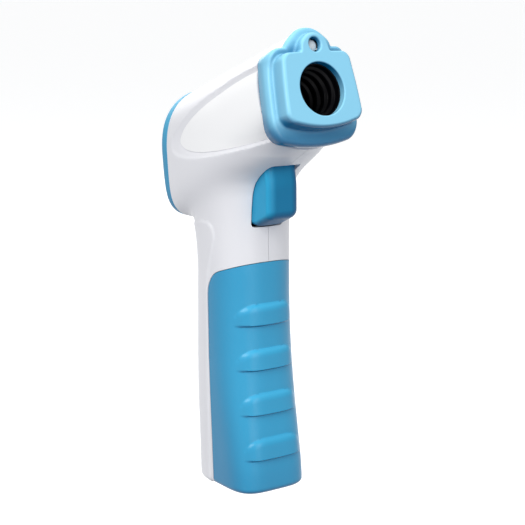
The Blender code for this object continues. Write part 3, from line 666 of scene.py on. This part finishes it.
def side_label(name, side):
    """Blank glossy label that fills the recess floor."""
    rows, columns = 90, 36
    q = np.sin(np.linspace(0, math.pi / 2, rows + 1))[:, None]
    w = np.sin(np.linspace(-math.pi / 2, math.pi / 2, columns + 1))[None, :]
    shrink = 0.12
    front = BEZEL_DEPTH + GAP + 0.1
    half = (LABEL_HALF - shrink) * np.maximum(1 - q ** LABEL_POWER, 0.0) ** 0.55
    depth = LABEL_FRONT + (LABEL_REAR - shrink - LABEL_FRONT) * q + 0.0 * w
    depth = np.concatenate([np.full((1, columns + 1), front), depth])
    rise = LABEL_MIDDLE - LABEL_DROP * q + half * w
    rise = np.concatenate([rise[:1], rise])
    floor = side_surface(depth, rise, side)
    face = floor.copy()
    face[..., 0] += side * LABEL_PROUD
    back = floor.copy()
    back[..., 0] -= side * LABEL_SUNK
    points, faces, at = two_layers(face, back)
    for j in range(columns):
        faces.append((at(0, j), at(0, j, 1), at(0, j + 1, 1), at(0, j + 1)))
    obj = weld(new_object(f"{name}_sheet", points, faces))
    finish_mesh(obj, 40.0)
    dress(obj, "body", "label_white", name)


# Grip cover ----------------------------------------------------------
def pad_height(x, z):
    """Height of the four finger pads: arched top edge, straight lower edge, ends that fade out."""
    total = np.zeros_like(z)
    shoulder = 4.8
    arch = np.clip((np.abs(x) - shoulder) / (PAD_HALF_WIDTH - shoulder), 0, 1)
    drop = 4.2 * (1 - np.sqrt(1 - np.minimum(arch, 0.999) ** 2))
    fade = smooth_step(1.25 - (np.abs(x) / PAD_HALF_WIDTH) ** 2.6)
    for number in range(4):
        low = PAD_LOWEST + number * PAD_PITCH
        upper = low + PAD_HEIGHT - drop
        rise_low = smooth_step((z - low + 0.1) / 0.5)
        u = np.clip((upper - z) / 2.6, 0, 1)
        rise_high = np.sqrt(1 - (1 - u) ** 2)
        total += PAD_RISE * rise_low * rise_high * fade
    return total


def cover_surface(turn, z, inset=0.0):
    """Point of the grip's outside at an angle from its front, moved in by inset."""
    shrink = np.where(z < BASE_ROUNDING,
                      BASE_ROUNDING - np.sqrt(np.maximum(BASE_ROUNDING ** 2
                                                         - (BASE_ROUNDING - z) ** 2, 0)), 0)
    front, back, width, squareness = (along_grip(z, c) for c in (1, 2, 3, 4))
    middle = (front + back) / 2
    depth = (back - front) / 2 - inset - shrink
    power = 2 / squareness
    side, ahead = np.sin(turn), np.cos(turn)
    x = np.sign(side) * np.abs(side) ** power * (width - inset - shrink)
    y = middle - np.sign(ahead) * np.abs(ahead) ** power * depth
    return x, y


def edge_turn(y, z, inset=0.0):
    """Angle from the front at which the section reaches y."""
    front, back, squareness = (along_grip(z, c) for c in (1, 2, 4))
    middle, depth = (front + back) / 2, (back - front) / 2 - inset
    ahead = (middle - y) / depth
    return math.acos(np.sign(ahead) * min(abs(ahead), 1.0) ** (squareness / 2))


def cover_rows(clearance):
    """Rows of the cover from bottom to top: edge y and edge z."""
    outline = door_outline(clearance)[1:14]
    rows = []
    hinge_y, hinge_z = DOOR_HINGE
    knee_y = hinge_y + hinge_z + GAP - clearance
    for k in range(7):
        angle = math.radians(90 * k / 6)
        rows.append((hinge_y + (knee_y - hinge_y) * math.sin(angle),
                     hinge_z - hinge_z * math.cos(angle)))
    bends = [(knee_y, hinge_z + 1.0), (DOOR_EDGE - clearance - 0.2, 48.0), outline[-1]]
    for (y0, z0), (y1, z1) in zip(bends, bends[1:]):
        count = int((z1 - z0) / 0.34)
        rows += [(y0 + (y1 - y0) * k / count, z0 + (z1 - z0) * k / count) for k in range(count)]
    rows += outline[::-1]
    return rows


def grip_cover():
    """Battery cover: curved shell with finger pads, flat base plate and hinge knuckle."""
    clearance = 0.22
    rows = cover_rows(clearance)
    columns = 96
    u = np.linspace(-1, 1, columns + 1)
    lean_from, lean_to = 60.0, rows[-1][1]
    layers = []
    for inset in (0.0, DOOR_THICKNESS):
        grid = []
        for edge_y, edge_z in rows:
            edge_z = max(edge_z, inset)
            share = smooth_step(np.array((edge_z - lean_from) / (lean_to - lean_from)))
            slope = DOOR_SLOPE * float(share)
            limit = edge_turn(edge_y, edge_z, inset)
            turn = u * limit
            z = np.full_like(u, edge_z)
            for _ in range(6):
                x, y = cover_surface(turn, z, inset)
                z = edge_z + slope * (edge_y - y)
            grid.append(np.stack([x, y, z], axis=1))
        layers.append(np.array(grid))
    outer, inner = layers
    push = pad_height(outer[..., 0], outer[..., 2])
    normal_out = np.stack([outer[..., 0] * 0.35, outer[..., 1] - 6.0, np.zeros_like(push)], axis=-1)
    normal_out /= np.linalg.norm(normal_out, axis=-1, keepdims=True)
    outer = outer + normal_out * push[..., None]
    points, faces, at = two_layers(outer, inner)
    last = len(rows) - 1
    for j in range(columns):
        faces.append((at(last, j), at(last, j + 1), at(last, j + 1, 1), at(last, j, 1)))
    faces.append(tuple(at(0, j) for j in range(columns + 1))[::-1])
    faces.append(tuple(at(0, j, 1) for j in range(columns + 1)))
    faces.append((at(0, 0), at(0, 0, 1), at(0, columns, 1), at(0, columns)))
    cover = weld(new_object("grip_cover", points, faces), dissolve=True)
    finish_mesh(cover, 48.0, 0.5, 4)
    dress(cover, "battery_door", "grip_blue", "battery_door")
    hinge = across(*DOOR_HINGE)
    ends = KNUCKLE_HALF
    profile = rounded(((1.1, -ends), (DOOR_HINGE[1] - 0.02, -ends), (DOOR_HINGE[1] - 0.02, ends),
                       (1.1, ends)), 0.3)
    knuckle = finish_mesh(turned("cover_knuckle", profile, hinge, 48))
    dress(knuckle, "battery_door", "grip_blue")


# Nose ----------------------------------------------------------------
# Right-hand corners of the plate and of the flange behind it, bottom to top: (x, rise, radius).
PLATE = ((15.4, -9.9, 2.4), (13.7, 12.5, 3.1), (5.9, 12.7, 1.2), (5.2, 16.2, 4.0),
         (2.0, 19.0, 5.2))
FLANGE = ((17.7, -14.7, 4.4), (15.5, 14.9, 4.4), (9.6, 15.1, 1.0), (8.3, 17.3, 9.0),
          (3.2, 21.4, 8.5))
TAB_RISE = 15.2                # above this the flange is a thin tab in front of the head's ridge
TAB_SHARE = 0.5                # the tab's depth as a share of the flange's


def mirrored(corners):
    """Right half given as (x, rise, radius) corners from bottom to top, then its mirror image."""
    return list(corners) + [(-x, rise, radius) for x, rise, radius in reversed(corners)]


def rounded_polygon(full, arc_steps=12, side_steps=14):
    """Evenly stepped outline of a polygon given as (x, y, corner radius) rows."""
    arcs = []
    for k, (x, u, radius) in enumerate(full):
        here = np.array((x, u))
        before = np.array(full[k - 1][:2]) - here
        after = np.array(full[(k + 1) % len(full)][:2]) - here
        before /= np.linalg.norm(before)
        after /= np.linalg.norm(after)
        half_angle = math.acos(float(np.clip(before @ after, -1, 1))) / 2
        reach = radius / math.tan(half_angle)
        middle = (before + after) / np.linalg.norm(before + after)
        centre = here + middle * radius / math.sin(half_angle)
        start = here + before * reach - centre
        end = here + after * reach - centre
        first = math.atan2(start[1], start[0])
        turn = math.atan2(start[0] * end[1] - start[1] * end[0], float(start @ end))
        angles = first + turn * np.arange(arc_steps + 1) / arc_steps
        arcs.append(centre + radius * np.stack([np.cos(angles), np.sin(angles)], axis=1))
    points = []
    for k, arc in enumerate(arcs):
        points.extend(arc)
        following = arcs[(k + 1) % len(arcs)][0]
        for step in range(1, side_steps):
            points.append(arc[-1] + (following - arc[-1]) * step / side_steps)
    return np.array(points)


def nose_ring(depth, blend, size):
    """Outline between plate (blend 0) and flange (blend 1) at a depth behind the nose face."""
    corners = [tuple(p + (q - p) * blend for p, q in zip(a, b)) for a, b in zip(PLATE, FLANGE)]
    half_width = corners[0][0]
    outline = rounded_polygon(mirrored(corners))
    x, rise = outline[:, 0], outline[:, 1]
    bow = 2.9 * np.maximum(0.0, 1 - (x / half_width) ** 2)
    rise = np.where(rise < 0, rise - bow, rise)
    x = x * (1 + 0.03 * np.maximum(0.0, 1 - (rise / 12) ** 2)) * size
    rise = rise * np.where(rise > 0, 1 - 0.6 * (1 - size), size)
    back = (depth / BEZEL_DEPTH) ** 2
    start, width = 6.0 + 9.0 * back, 12.0 - 11.1 * back
    depth = depth * (1 - (1 - TAB_SHARE) * smooth_step((rise - start) / width))
    return in_frame(NOSE_FRAME, np.stack([x, rise, depth], axis=1))


def smooth_rows(rows, per_span=4):
    """Catmull-Rom rows between the given ones."""
    rows = np.array(rows, float)
    padded = np.concatenate([[2 * rows[0] - rows[1]], rows, [2 * rows[-1] - rows[-2]]])
    result = []
    for a, b, c, d in zip(padded, padded[1:], padded[2:], padded[3:]):
        for k in range(per_span):
            t = k / per_span
            result.append(0.5 * (2 * b + (c - a) * t + (2 * a - 5 * b + 4 * c - d) * t ** 2
                                 + (3 * b - a - 3 * c + d) * t ** 3))
    result.append(rows[-1])
    return result


def flared_hole(name, radius, flare, depth, place, face=0.0):
    """Boolean tool: a hole whose front edge opens out in a quarter round."""
    steps = 6
    profile = [(0.0, face - 3.0), (radius + flare, face - 3.0)]
    for k in range(steps + 1):
        angle = math.radians(90 * k / steps)
        profile.append((radius + flare * (1 - math.sin(angle)),
                        face + flare * (1 - math.cos(angle))))
    profile += [(radius, depth), (0.0, depth)]
    return turned(name, profile, place, 96)


def nose_bezel():
    """Blue nose cap: raised plate with the light's boss, hollow valley and thick round flange."""
    profile = ((0.0, 0.0, 0.915), (0.1, 0.0, 0.943), (0.4, 0.0, 0.972), (0.9, 0.0, 0.992),
               (1.5, 0.0, 1.0), (2.6, 0.0, 1.004), (4.4, 0.0, 1.004), (5.4, 0.05, 1.0),
               (5.9, 0.16, 1.0), (6.1, 0.32, 1.0), (6.2, 0.5, 1.0), (6.35, 0.7, 1.0),
               (6.7, 0.87, 1.0),
               (7.4, 0.97, 1.004), (8.6, 1.0, 1.012), (10.2, 1.0, 1.004), (12.0, 1.0, 0.98),
               (BEZEL_DEPTH, 1.0, 0.955), (BEZEL_DEPTH, 1.0, 0.9), (10.0, 0.95, 0.86),
               (8.2, 0.5, 0.84), (7.0, 0.1, 0.85), (3.2, 0.0, 0.86))
    bezel = loft("nose_cap", [nose_ring(*row) for row in smooth_rows(profile)])
    cut(bezel, flared_hole("aperture", APERTURE_RADIUS, 0.45, 14.0, NOSE_FRAME))
    cut(bezel, rod("tube_seat", TUBE_RADIUS + GAP, TUBE_START - GAP, 14.0, NOSE_FRAME, 96))
    guide = NOSE_FRAME @ Matrix.Translation((0, GUIDE_RISE, 0))
    cut(bezel, flared_hole("guide_hole", GUIDE_RADIUS, 0.6, 14.0, guide))
    finish_mesh(bezel, 50.0)
    dress(bezel, "body", "bezel_blue", "nose_bezel")


def baffle_tube():
    """Black tube behind the aperture, with ring lips that stop stray light."""
    profile = [(TUBE_RADIUS, TUBE_START), (8.75, TUBE_START), (8.75, 5.2)]
    for k in range(5):
        start = 5.2 + 3.7 * k
        shrink = 0.42 * k
        profile += [(7.7 - shrink, start + 0.35), (7.6 - shrink, start + 1.0),
                    (8.45 - shrink, start + 1.3), (8.45 - shrink, start + 3.4)]
    profile += [(5.2, 24.4), (5.2, 26.0), (TUBE_RADIUS, 26.0), (TUBE_RADIUS, TUBE_START)]
    ring = rounded(profile, 0.28, 3)[:-1]
    tube = finish_mesh(turned("baffle_tube", ring, NOSE_FRAME, 96), 60.0)
    dress(tube, "body", "black_plastic", "sensor_tube")


def guide_lens():
    """Clear domed lens of the aiming light."""
    place = NOSE_FRAME @ Matrix.Translation((0, GUIDE_RISE, 0))
    dome = [(0.0, 1.35)]
    for k in range(1, 9):
        angle = math.radians(90 * k / 8)
        dome.append((2.05 * math.sin(angle), 1.35 + 1.2 * (1 - math.cos(angle))))
    dome += [(2.05, 4.2), (0.0, 4.2)]
    lens = finish_mesh(turned("aiming_lens", dome, place, 48), 50.0)
    dress(lens, "body", "clear_lens", "guide_light_lens")


# Display end ---------------------------------------------------------
def rear_ring(depth, inset, count=144):
    """Rear outline of the head, moved out by depth and inwards by inset."""
    angles = 2 * math.pi * (np.arange(count) + 0.5) / count
    half_width = head_half_width(1.0) - inset
    half_height = np.linalg.norm(HEAD_TOP[1] - HEAD_BOTTOM[1]) / 2 - inset
    squareness = np.where(np.cos(angles) > 0, 2.4, 4.6)
    side, rise = np.sin(angles), np.cos(angles)
    x = np.sign(side) * np.abs(side) ** (2 / squareness) * half_width
    height = np.sign(rise) * np.abs(rise) ** (2 / squareness) * half_height
    ridge = np.maximum(0.0, 1 - (x / ridge_half_width(1.0)) ** 2) ** 1.5
    height = np.where(rise > 0, height + ridge_height(1.0) * ridge, height)
    arch = 1 - 0.6 * np.abs(height / half_height) ** 5 - 0.1 * smooth_step(-height / 12)
    depth = np.where(depth > 0.5, 0.5 + (depth - 0.5) * arch, depth)
    return in_frame(REAR_FRAME, np.stack([x, height, depth], axis=1))


def display_bezel():
    """Blue rear frame with the display opening and three key holes."""
    profile = ((0.12, 0.25), (0.25, 0.02), (0.6, -0.02), (2.0, -0.02), (3.4, 0.1), (4.3, 0.6),
               (4.9, 1.5), (5.15, 2.6), (5.2, 4.2), (5.2, 6.0))
    bezel = loft("display_frame", [rear_ring(*row) for row in smooth_rows(profile)])
    cut(bezel, loft("display_hollow", [rear_ring(-1.0, 2.2), rear_ring(2.4, 2.6)]))
    opening = rounded_rectangle((-DISPLAY_HALF_WIDTH, DISPLAY_LOW),
                                (DISPLAY_HALF_WIDTH, DISPLAY_HIGH), 1.6)
    cut(bezel, prism("display_opening", opening, 0.0, 8.0, REAR_FRAME))
    flare = rounded_rectangle((-DISPLAY_HALF_WIDTH - 0.9, DISPLAY_LOW - 0.9),
                              (DISPLAY_HALF_WIDTH + 0.9, DISPLAY_HIGH + 0.9), 2.4)
    rims = [in_frame(REAR_FRAME, [(x, y, height) for x, y in outline])
            for outline, height in ((opening, 3.3), (flare, 4.3))]
    cut(bezel, loft("display_rim", rims))
    for place in key_frames():
        cut(bezel, rod("key_hole", KEY_RADIUS + GAP, 0.0, 8.0, place, 64))
    finish_mesh(bezel, 35.0)
    # The rear frame gets a darker copy of the bezel blue: painted shade.
    dress(bezel, "body", "bezel_blue", "display_bezel", finish="shaded_rear_blue")


def key_frames():
    return [REAR_FRAME @ Matrix.Translation((x, KEY_RISE, 0))
            for x in (KEY_SPACING, 0.0, -KEY_SPACING)]


def keys():
    """Three soft domed keys."""
    cap = rounded(((0.0, 1.0), (KEY_RADIUS, 1.0), (KEY_RADIUS, 5.4), (2.2, 5.85), (0.0, 6.0)),
                  0.5, 5)
    for name, place in zip(("mode", "up", "down"), key_frames()):
        key = finish_mesh(turned(f"{name}_key_cap", cap, place, 64), 50.0)
        dress(key, f"{name}_key", "key_grey", f"{name}_key")


def display_glass():
    """Clear-edged dark window in front of the display."""
    outline = rounded_rectangle((-DISPLAY_HALF_WIDTH + GAP, DISPLAY_LOW + GAP),
                                (DISPLAY_HALF_WIDTH - GAP, DISPLAY_HIGH - GAP), 1.4)
    glass = prism("display_glass", outline, 3.4, 4.6, REAR_FRAME)
    finish_mesh(glass, 40.0, 0.25, 3)
    dress(glass, "body", "dark_window", "display_window")


# Trigger -------------------------------------------------------------
def trigger():
    """Blade with softly rounded sides, on its pin. Its corners are (y, z, radius) rows."""
    outline = rounded_polygon(((-17.3, 119.6, 2.4), (-18.9, 111.5, 20.0), (-19.1, 100.3, 3.6),
                               (-10.4, 96.25, 5.0), (-5.9, 96.6, 2.3), (-6.4, 119.9, 2.6)))
    ahead = np.roll(outline, -1, axis=0) - np.roll(outline, 1, axis=0)
    normal = np.stack([ahead[:, 1], -ahead[:, 0]], axis=1)
    normal /= np.linalg.norm(normal, axis=1, keepdims=True)
    centre = outline.mean(axis=0)
    if ((outline - centre) * normal).sum() < 0:
        normal = -normal
    radius, breadth, steps = 2.0, 3.4, 12
    rings = []
    for k in range(2 * steps + 2):
        side = -1 if k <= steps else 1
        angle = math.radians(90 * (steps - k if side < 0 else k - steps - 1) / steps)
        x = side * (TRIGGER_HALF_WIDTH - breadth + breadth * math.sin(angle))
        shrunk = outline - normal * radius * (1 - math.cos(angle))
        rings.append(np.column_stack([np.full(len(outline), x), shrunk]))
    piece = loft("trigger_blade", rings)
    cut(piece, rod("pin_hole", 1.3, -20, 20, across(*TRIGGER_PIVOT), 48))
    finish_mesh(piece, 40.0)
    dress(piece, "trigger", "trigger_blue", "trigger")


# Materials -----------------------------------------------------------
DRIFT_SCALE = 45.0             # of the noise that drifts the colour, per metre
LIT_RANGE = (-0.35, 0.9)       # facing the assumed light, from full painted shade to fully lit
HOLLOW_SHADE_RANGE = (0.35, 0.95)      # openness, from deepest painted shade in hollows to none
HOLLOW_REACH = 3.0             # how far the openness for the painted hollow shade looks, in millimetres


def map_range(tree, value, source=(0.0, 1.0), target=(0.0, 1.0), smooth=False):
    """Result socket of a Map Range node on a value."""
    node = tree.nodes.new("ShaderNodeMapRange")
    if smooth:
        node.interpolation_type = "SMOOTHSTEP"
    for name, number in zip(("From Min", "From Max", "To Min", "To Max"), (*source, *target)):
        node.inputs[name].default_value = number
    tree.links.new(value, node.inputs["Value"])
    return node.outputs["Result"]


def product(tree, a, b):
    node = tree.nodes.new("ShaderNodeMath")
    node.operation = "MULTIPLY"
    tree.links.new(a, node.inputs[0])
    tree.links.new(b, node.inputs[1])
    return node.outputs["Value"]


def along(tree, vector, direction):
    """How far a vector reaches along a direction."""
    node = tree.nodes.new("ShaderNodeVectorMath")
    node.operation = "DOT_PRODUCT"
    node.inputs[1].default_value = direction
    tree.links.new(vector, node.inputs[0])
    return node.outputs["Value"]


def colour_mix(tree, factor, first, second=None):
    """Mix node from one colour to another; without the second its B socket stays open."""
    node = tree.nodes.new("ShaderNodeMix")
    node.data_type = "RGBA"
    node.inputs["A"].default_value = (*first, 1)
    if second:
        node.inputs["B"].default_value = (*second, 1)
    tree.links.new(factor, node.inputs["Factor"])
    return node


def noise(tree, place, scale, detail):
    node = tree.nodes.new("ShaderNodeTexNoise")
    node.inputs["Scale"].default_value = scale
    node.inputs["Detail"].default_value = detail
    tree.links.new(place, node.inputs["Vector"])
    return node.outputs["Fac"]


def paint_shade(tree, place, tone, painted_shade_tone, lit_from, low=None):
    """Painted shade: darkens a colour towards a shade tone in hollows, on faces turned from the
    assumed light direction lit_from, and towards the floor: low is a direction with its start and
    end in millimetres."""
    normal = tree.nodes.new("ShaderNodeNewGeometry").outputs["Normal"]
    # painted shade on faces turned away from the assumed light
    lit = map_range(tree, along(tree, normal, lit_from), LIT_RANGE, smooth=True)
    # painted shade in hollows, taken from ambient occlusion
    hollow = tree.nodes.new("ShaderNodeAmbientOcclusion")
    hollow.samples = 6
    hollow.inputs["Distance"].default_value = HOLLOW_REACH * MM
    share = product(tree, lit, map_range(tree, hollow.outputs["AO"], HOLLOW_SHADE_RANGE, (0.3, 1.0)))
    # painted shade that grows towards the floor along the low direction
    if low:
        direction, start, end = low
        reach = along(tree, place, direction)
        share = product(tree, share, map_range(tree, reach, (start * MM, end * MM), (1.0, 0.2),
                                               smooth=True))
    blend = colour_mix(tree, share, painted_shade_tone)
    tree.links.new(tone, blend.inputs["B"])
    return blend.outputs["Result"]


def moulded(name, colour, roughness, drift=0.03, grain=0.012, grain_size=0.35, metal=0.0,
            painted_shade_tone=None, lit_from=(-0.15, -0.32, 0.93), low=None, sheen=0.5):
    """Moulded material: colour drifts a little, with fine surface grain and uneven gloss.

    Drift is a share of the colour; grain is the bump's height and grain_size its width, in mm.
    With a shade tone given, shade is painted into the colour on faces turned from the light, in
    hollows and low down.
    """
    material = bpy.data.materials.new(name)
    material.use_nodes = True
    tree = material.node_tree
    shader = tree.nodes["Principled BSDF"]
    shader.inputs["Metallic"].default_value = metal
    shader.inputs["Specular IOR Level"].default_value = sheen
    place = tree.nodes.new("ShaderNodeTexCoord").outputs["Object"]
    tone = colour_mix(tree, noise(tree, place, DRIFT_SCALE, 3.0),
                      [c * (1 - drift) for c in colour],
                      [min(1.0, c * (1 + drift)) for c in colour]).outputs["Result"]
    # painted shade mixed into the base colour
    if painted_shade_tone:
        tone = paint_shade(tree, place, tone, painted_shade_tone, lit_from, low)
    tree.links.new(tone, shader.inputs["Base Color"])
    fine = noise(tree, place, 1.0 / (grain_size * MM), 2.0)
    gloss = map_range(tree, fine, target=(roughness * 0.88, roughness * 1.12))
    tree.links.new(gloss, shader.inputs["Roughness"])
    bump = tree.nodes.new("ShaderNodeBump")
    bump.inputs["Strength"].default_value = 0.6
    bump.inputs["Distance"].default_value = grain * MM
    tree.links.new(fine, bump.inputs["Height"])
    tree.links.new(bump.outputs["Normal"], shader.inputs["Normal"])
    return material


# Direction along which painted shade darkens the bezel's underside, and where along it that starts.
NOSE_SHADE_DIRECTION = NOSE_BACK * 0.9 - NOSE_UP
NOSE_SHADE_START = float(NOSE @ NOSE_SHADE_DIRECTION) + 12.6

# Finishes with a shade tone have shade painted into their colour: darker on faces turned from the
# light, in hollows and low down.
FINISHES = {name: moulded(name, *row, **options) for name, row, options in (
    ("white_plastic", ((0.80, 0.80, 0.83), 0.36, 0.012), {}),
    ("bezel_blue", ((0.30, 0.70, 0.92), 0.22, 0.02),
     {"painted_shade_tone": (0.0, 0.13, 0.30), "lit_from": (-0.38, -0.42, 0.82), "sheen": 0.28,
      "low": (tuple(NOSE_SHADE_DIRECTION), NOSE_SHADE_START, NOSE_SHADE_START + 8.0)}),
    # A darker copy of the bezel blue for the rear frame: painted shade.
    ("shaded_rear_blue", ((0.10, 0.46, 0.70), 0.34, 0.02), {"painted_shade_tone": (0.0, 0.20, 0.40), "sheen": 0.3}),
    ("grip_blue", ((0.05, 0.47, 0.77), 0.31, 0.03),
     # The grip blue darkens towards the bottom: painted shade.
     {"painted_shade_tone": (0.0, 0.15, 0.33), "sheen": 0.4, "low": ((0.0, 0.0, -1.0), -55.0, 60.0)}),
    ("trigger_blue", ((0.03, 0.37, 0.63), 0.34, 0.03),
     {"painted_shade_tone": (0.0, 0.11, 0.26), "lit_from": (-0.8, -0.1, 0.59), "sheen": 0.16}),
    ("label_white", ((0.97, 0.97, 0.97), 0.3, 0.008, 0.004, 0.8), {}),
    ("black_plastic", ((0.002, 0.002, 0.003), 0.30, 0.15), {"sheen": 0.07}),
    ("clear_lens", ((0.62, 0.68, 0.72), 0.06, 0.03, 0.002), {}),
    ("dark_window", ((0.015, 0.02, 0.024), 0.08, 0.1, 0.002), {}),
    ("lcd_glass", ((0.35, 0.42, 0.36), 0.2, 0.04), {}),
    ("light_guide", ((0.85, 0.88, 0.85), 0.3, 0.03), {}),
    ("key_grey", ((0.40, 0.43, 0.46), 0.5, 0.04), {}),
    ("steel", ((0.60, 0.60, 0.62), 0.25, 0.05, 0.006, 0.15, 1.0), {}),
    ("board_green", ((0.02, 0.16, 0.07), 0.4, 0.2, 0.02, 0.8), {}),
    ("cell_jacket", ((0.10, 0.11, 0.13), 0.3, 0.1, 0.01, 0.3, 0.3), {}),
    ("lead_red", ((0.60, 0.02, 0.02), 0.5, 0.06), {}),
    ("lead_black", ((0.02, 0.02, 0.02), 0.5, 0.1), {}),
)}


def dress(obj, body, slot, *replaced, finish=None):
    """Gives a new piece its finish, its body and the CAD nodes it stands for."""
    obj.data.materials.clear()
    obj.data.materials.append(FINISHES[finish or slot])
    for face in obj.data.polygons:
        face.material_index = 0
    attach(obj, body)
    if replaced:
        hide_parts(*replaced)


def dress_frame():
    """Procedural finish on every CAD node that still shows."""
    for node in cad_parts.values():
        for place in node.material_slots:
            slot = place.material.name.split(".")[0] if place.material else ""
            if slot in FINISHES:
                place.material = FINISHES[slot]


# Stage ---------------------------------------------------------------
def floor():
    """Pale floor that lights nothing by itself, wide enough to reach the horizon."""
    size = 60.0
    mesh = bpy.data.meshes.new("floor")
    corners = [(-size, -size, 0), (size, -size, 0), (size, size, 0), (-size, size, 0)]
    mesh.from_pydata(corners, [], [(0, 1, 2, 3)])
    plane = bpy.data.objects.new("floor", mesh)
    plane.location.z = -FLOOR_DROP * MM
    bpy.context.scene.collection.objects.link(plane)
    finish = moulded("floor_finish", (0.86, 0.86, 0.86), 0.7, 0.01)
    shader = finish.node_tree.nodes["Principled BSDF"]
    shader.inputs["Emission Color"].default_value = (1, 1, 1, 1)
    shader.inputs["Emission Strength"].default_value = 0.45
    mesh.materials.append(finish)
    plane.visible_diffuse = False


def area_light(name, place, target, size, power):
    data = bpy.data.lights.new(name, "AREA")
    data.shape = "RECTANGLE"
    data.size, data.size_y = size
    data.energy = power
    light = bpy.data.objects.new(name, data)
    light.location = place
    light.rotation_euler = (Vector(target) - Vector(place)).to_track_quat("-Z", "Y").to_euler()
    bpy.context.scene.collection.objects.link(light)


def studio():
    """Soft daylight: a pale sky that darkens below the horizon, and four large lamps."""
    world = bpy.data.worlds.new("studio")
    bpy.context.scene.world = world
    world.use_nodes = True
    tree = world.node_tree
    background = tree.nodes["Background"]
    background.inputs["Strength"].default_value = 0.62
    split = tree.nodes.new("ShaderNodeSeparateXYZ")
    tree.links.new(tree.nodes.new("ShaderNodeTexCoord").outputs["Generated"],
                   split.inputs["Vector"])
    height = map_range(tree, split.outputs["Z"], (-0.7, 0.5))
    tone = colour_mix(tree, height, (0.36, 0.38, 0.44), (0.98, 0.99, 1.0))
    tree.links.new(tone.outputs["Result"], background.inputs["Color"])
    middle = (0, 0, 0.09)
    area_light("key", (-0.75, -0.35, 0.6), middle, (0.5, 0.5), 4.6)
    area_light("front", (-0.1, -0.9, 0.3), middle, (0.5, 0.6), 2.2)
    area_light("top", (0.0, 0.0, 0.95), middle, (0.7, 0.7), 2.0)
    area_light("back", (0.3, 0.9, 0.5), middle, (0.8, 0.5), 2.0)
    bpy.context.scene.view_settings.view_transform = "Standard"


def camera():
    """View of the photograph: its axes and place were fitted to the object's outline."""
    data = bpy.data.cameras.new("camera")
    data.sensor_width = 36.0
    data.lens = 96.0
    view = bpy.data.objects.new("camera", data)
    right = Vector((0.8175, -0.5759, 0.0023))
    up = Vector((0.1114, 0.1621, 0.9805))
    back = Vector((-0.565, -0.8013, 0.1967))
    place = Matrix((right, up, back)).transposed().to_4x4()
    place.translation = (-0.2810, -0.4046, 0.1801)
    view.matrix_world = place
    bpy.context.scene.collection.objects.link(view)
    bpy.context.scene.camera = view


housing()
side_label("label_left", -1)
side_label("label_right", 1)
grip_cover()
nose_bezel()
baffle_tube()
guide_lens()
display_bezel()
display_glass()
keys()
trigger()
dress_frame()
floor()
studio()
camera()
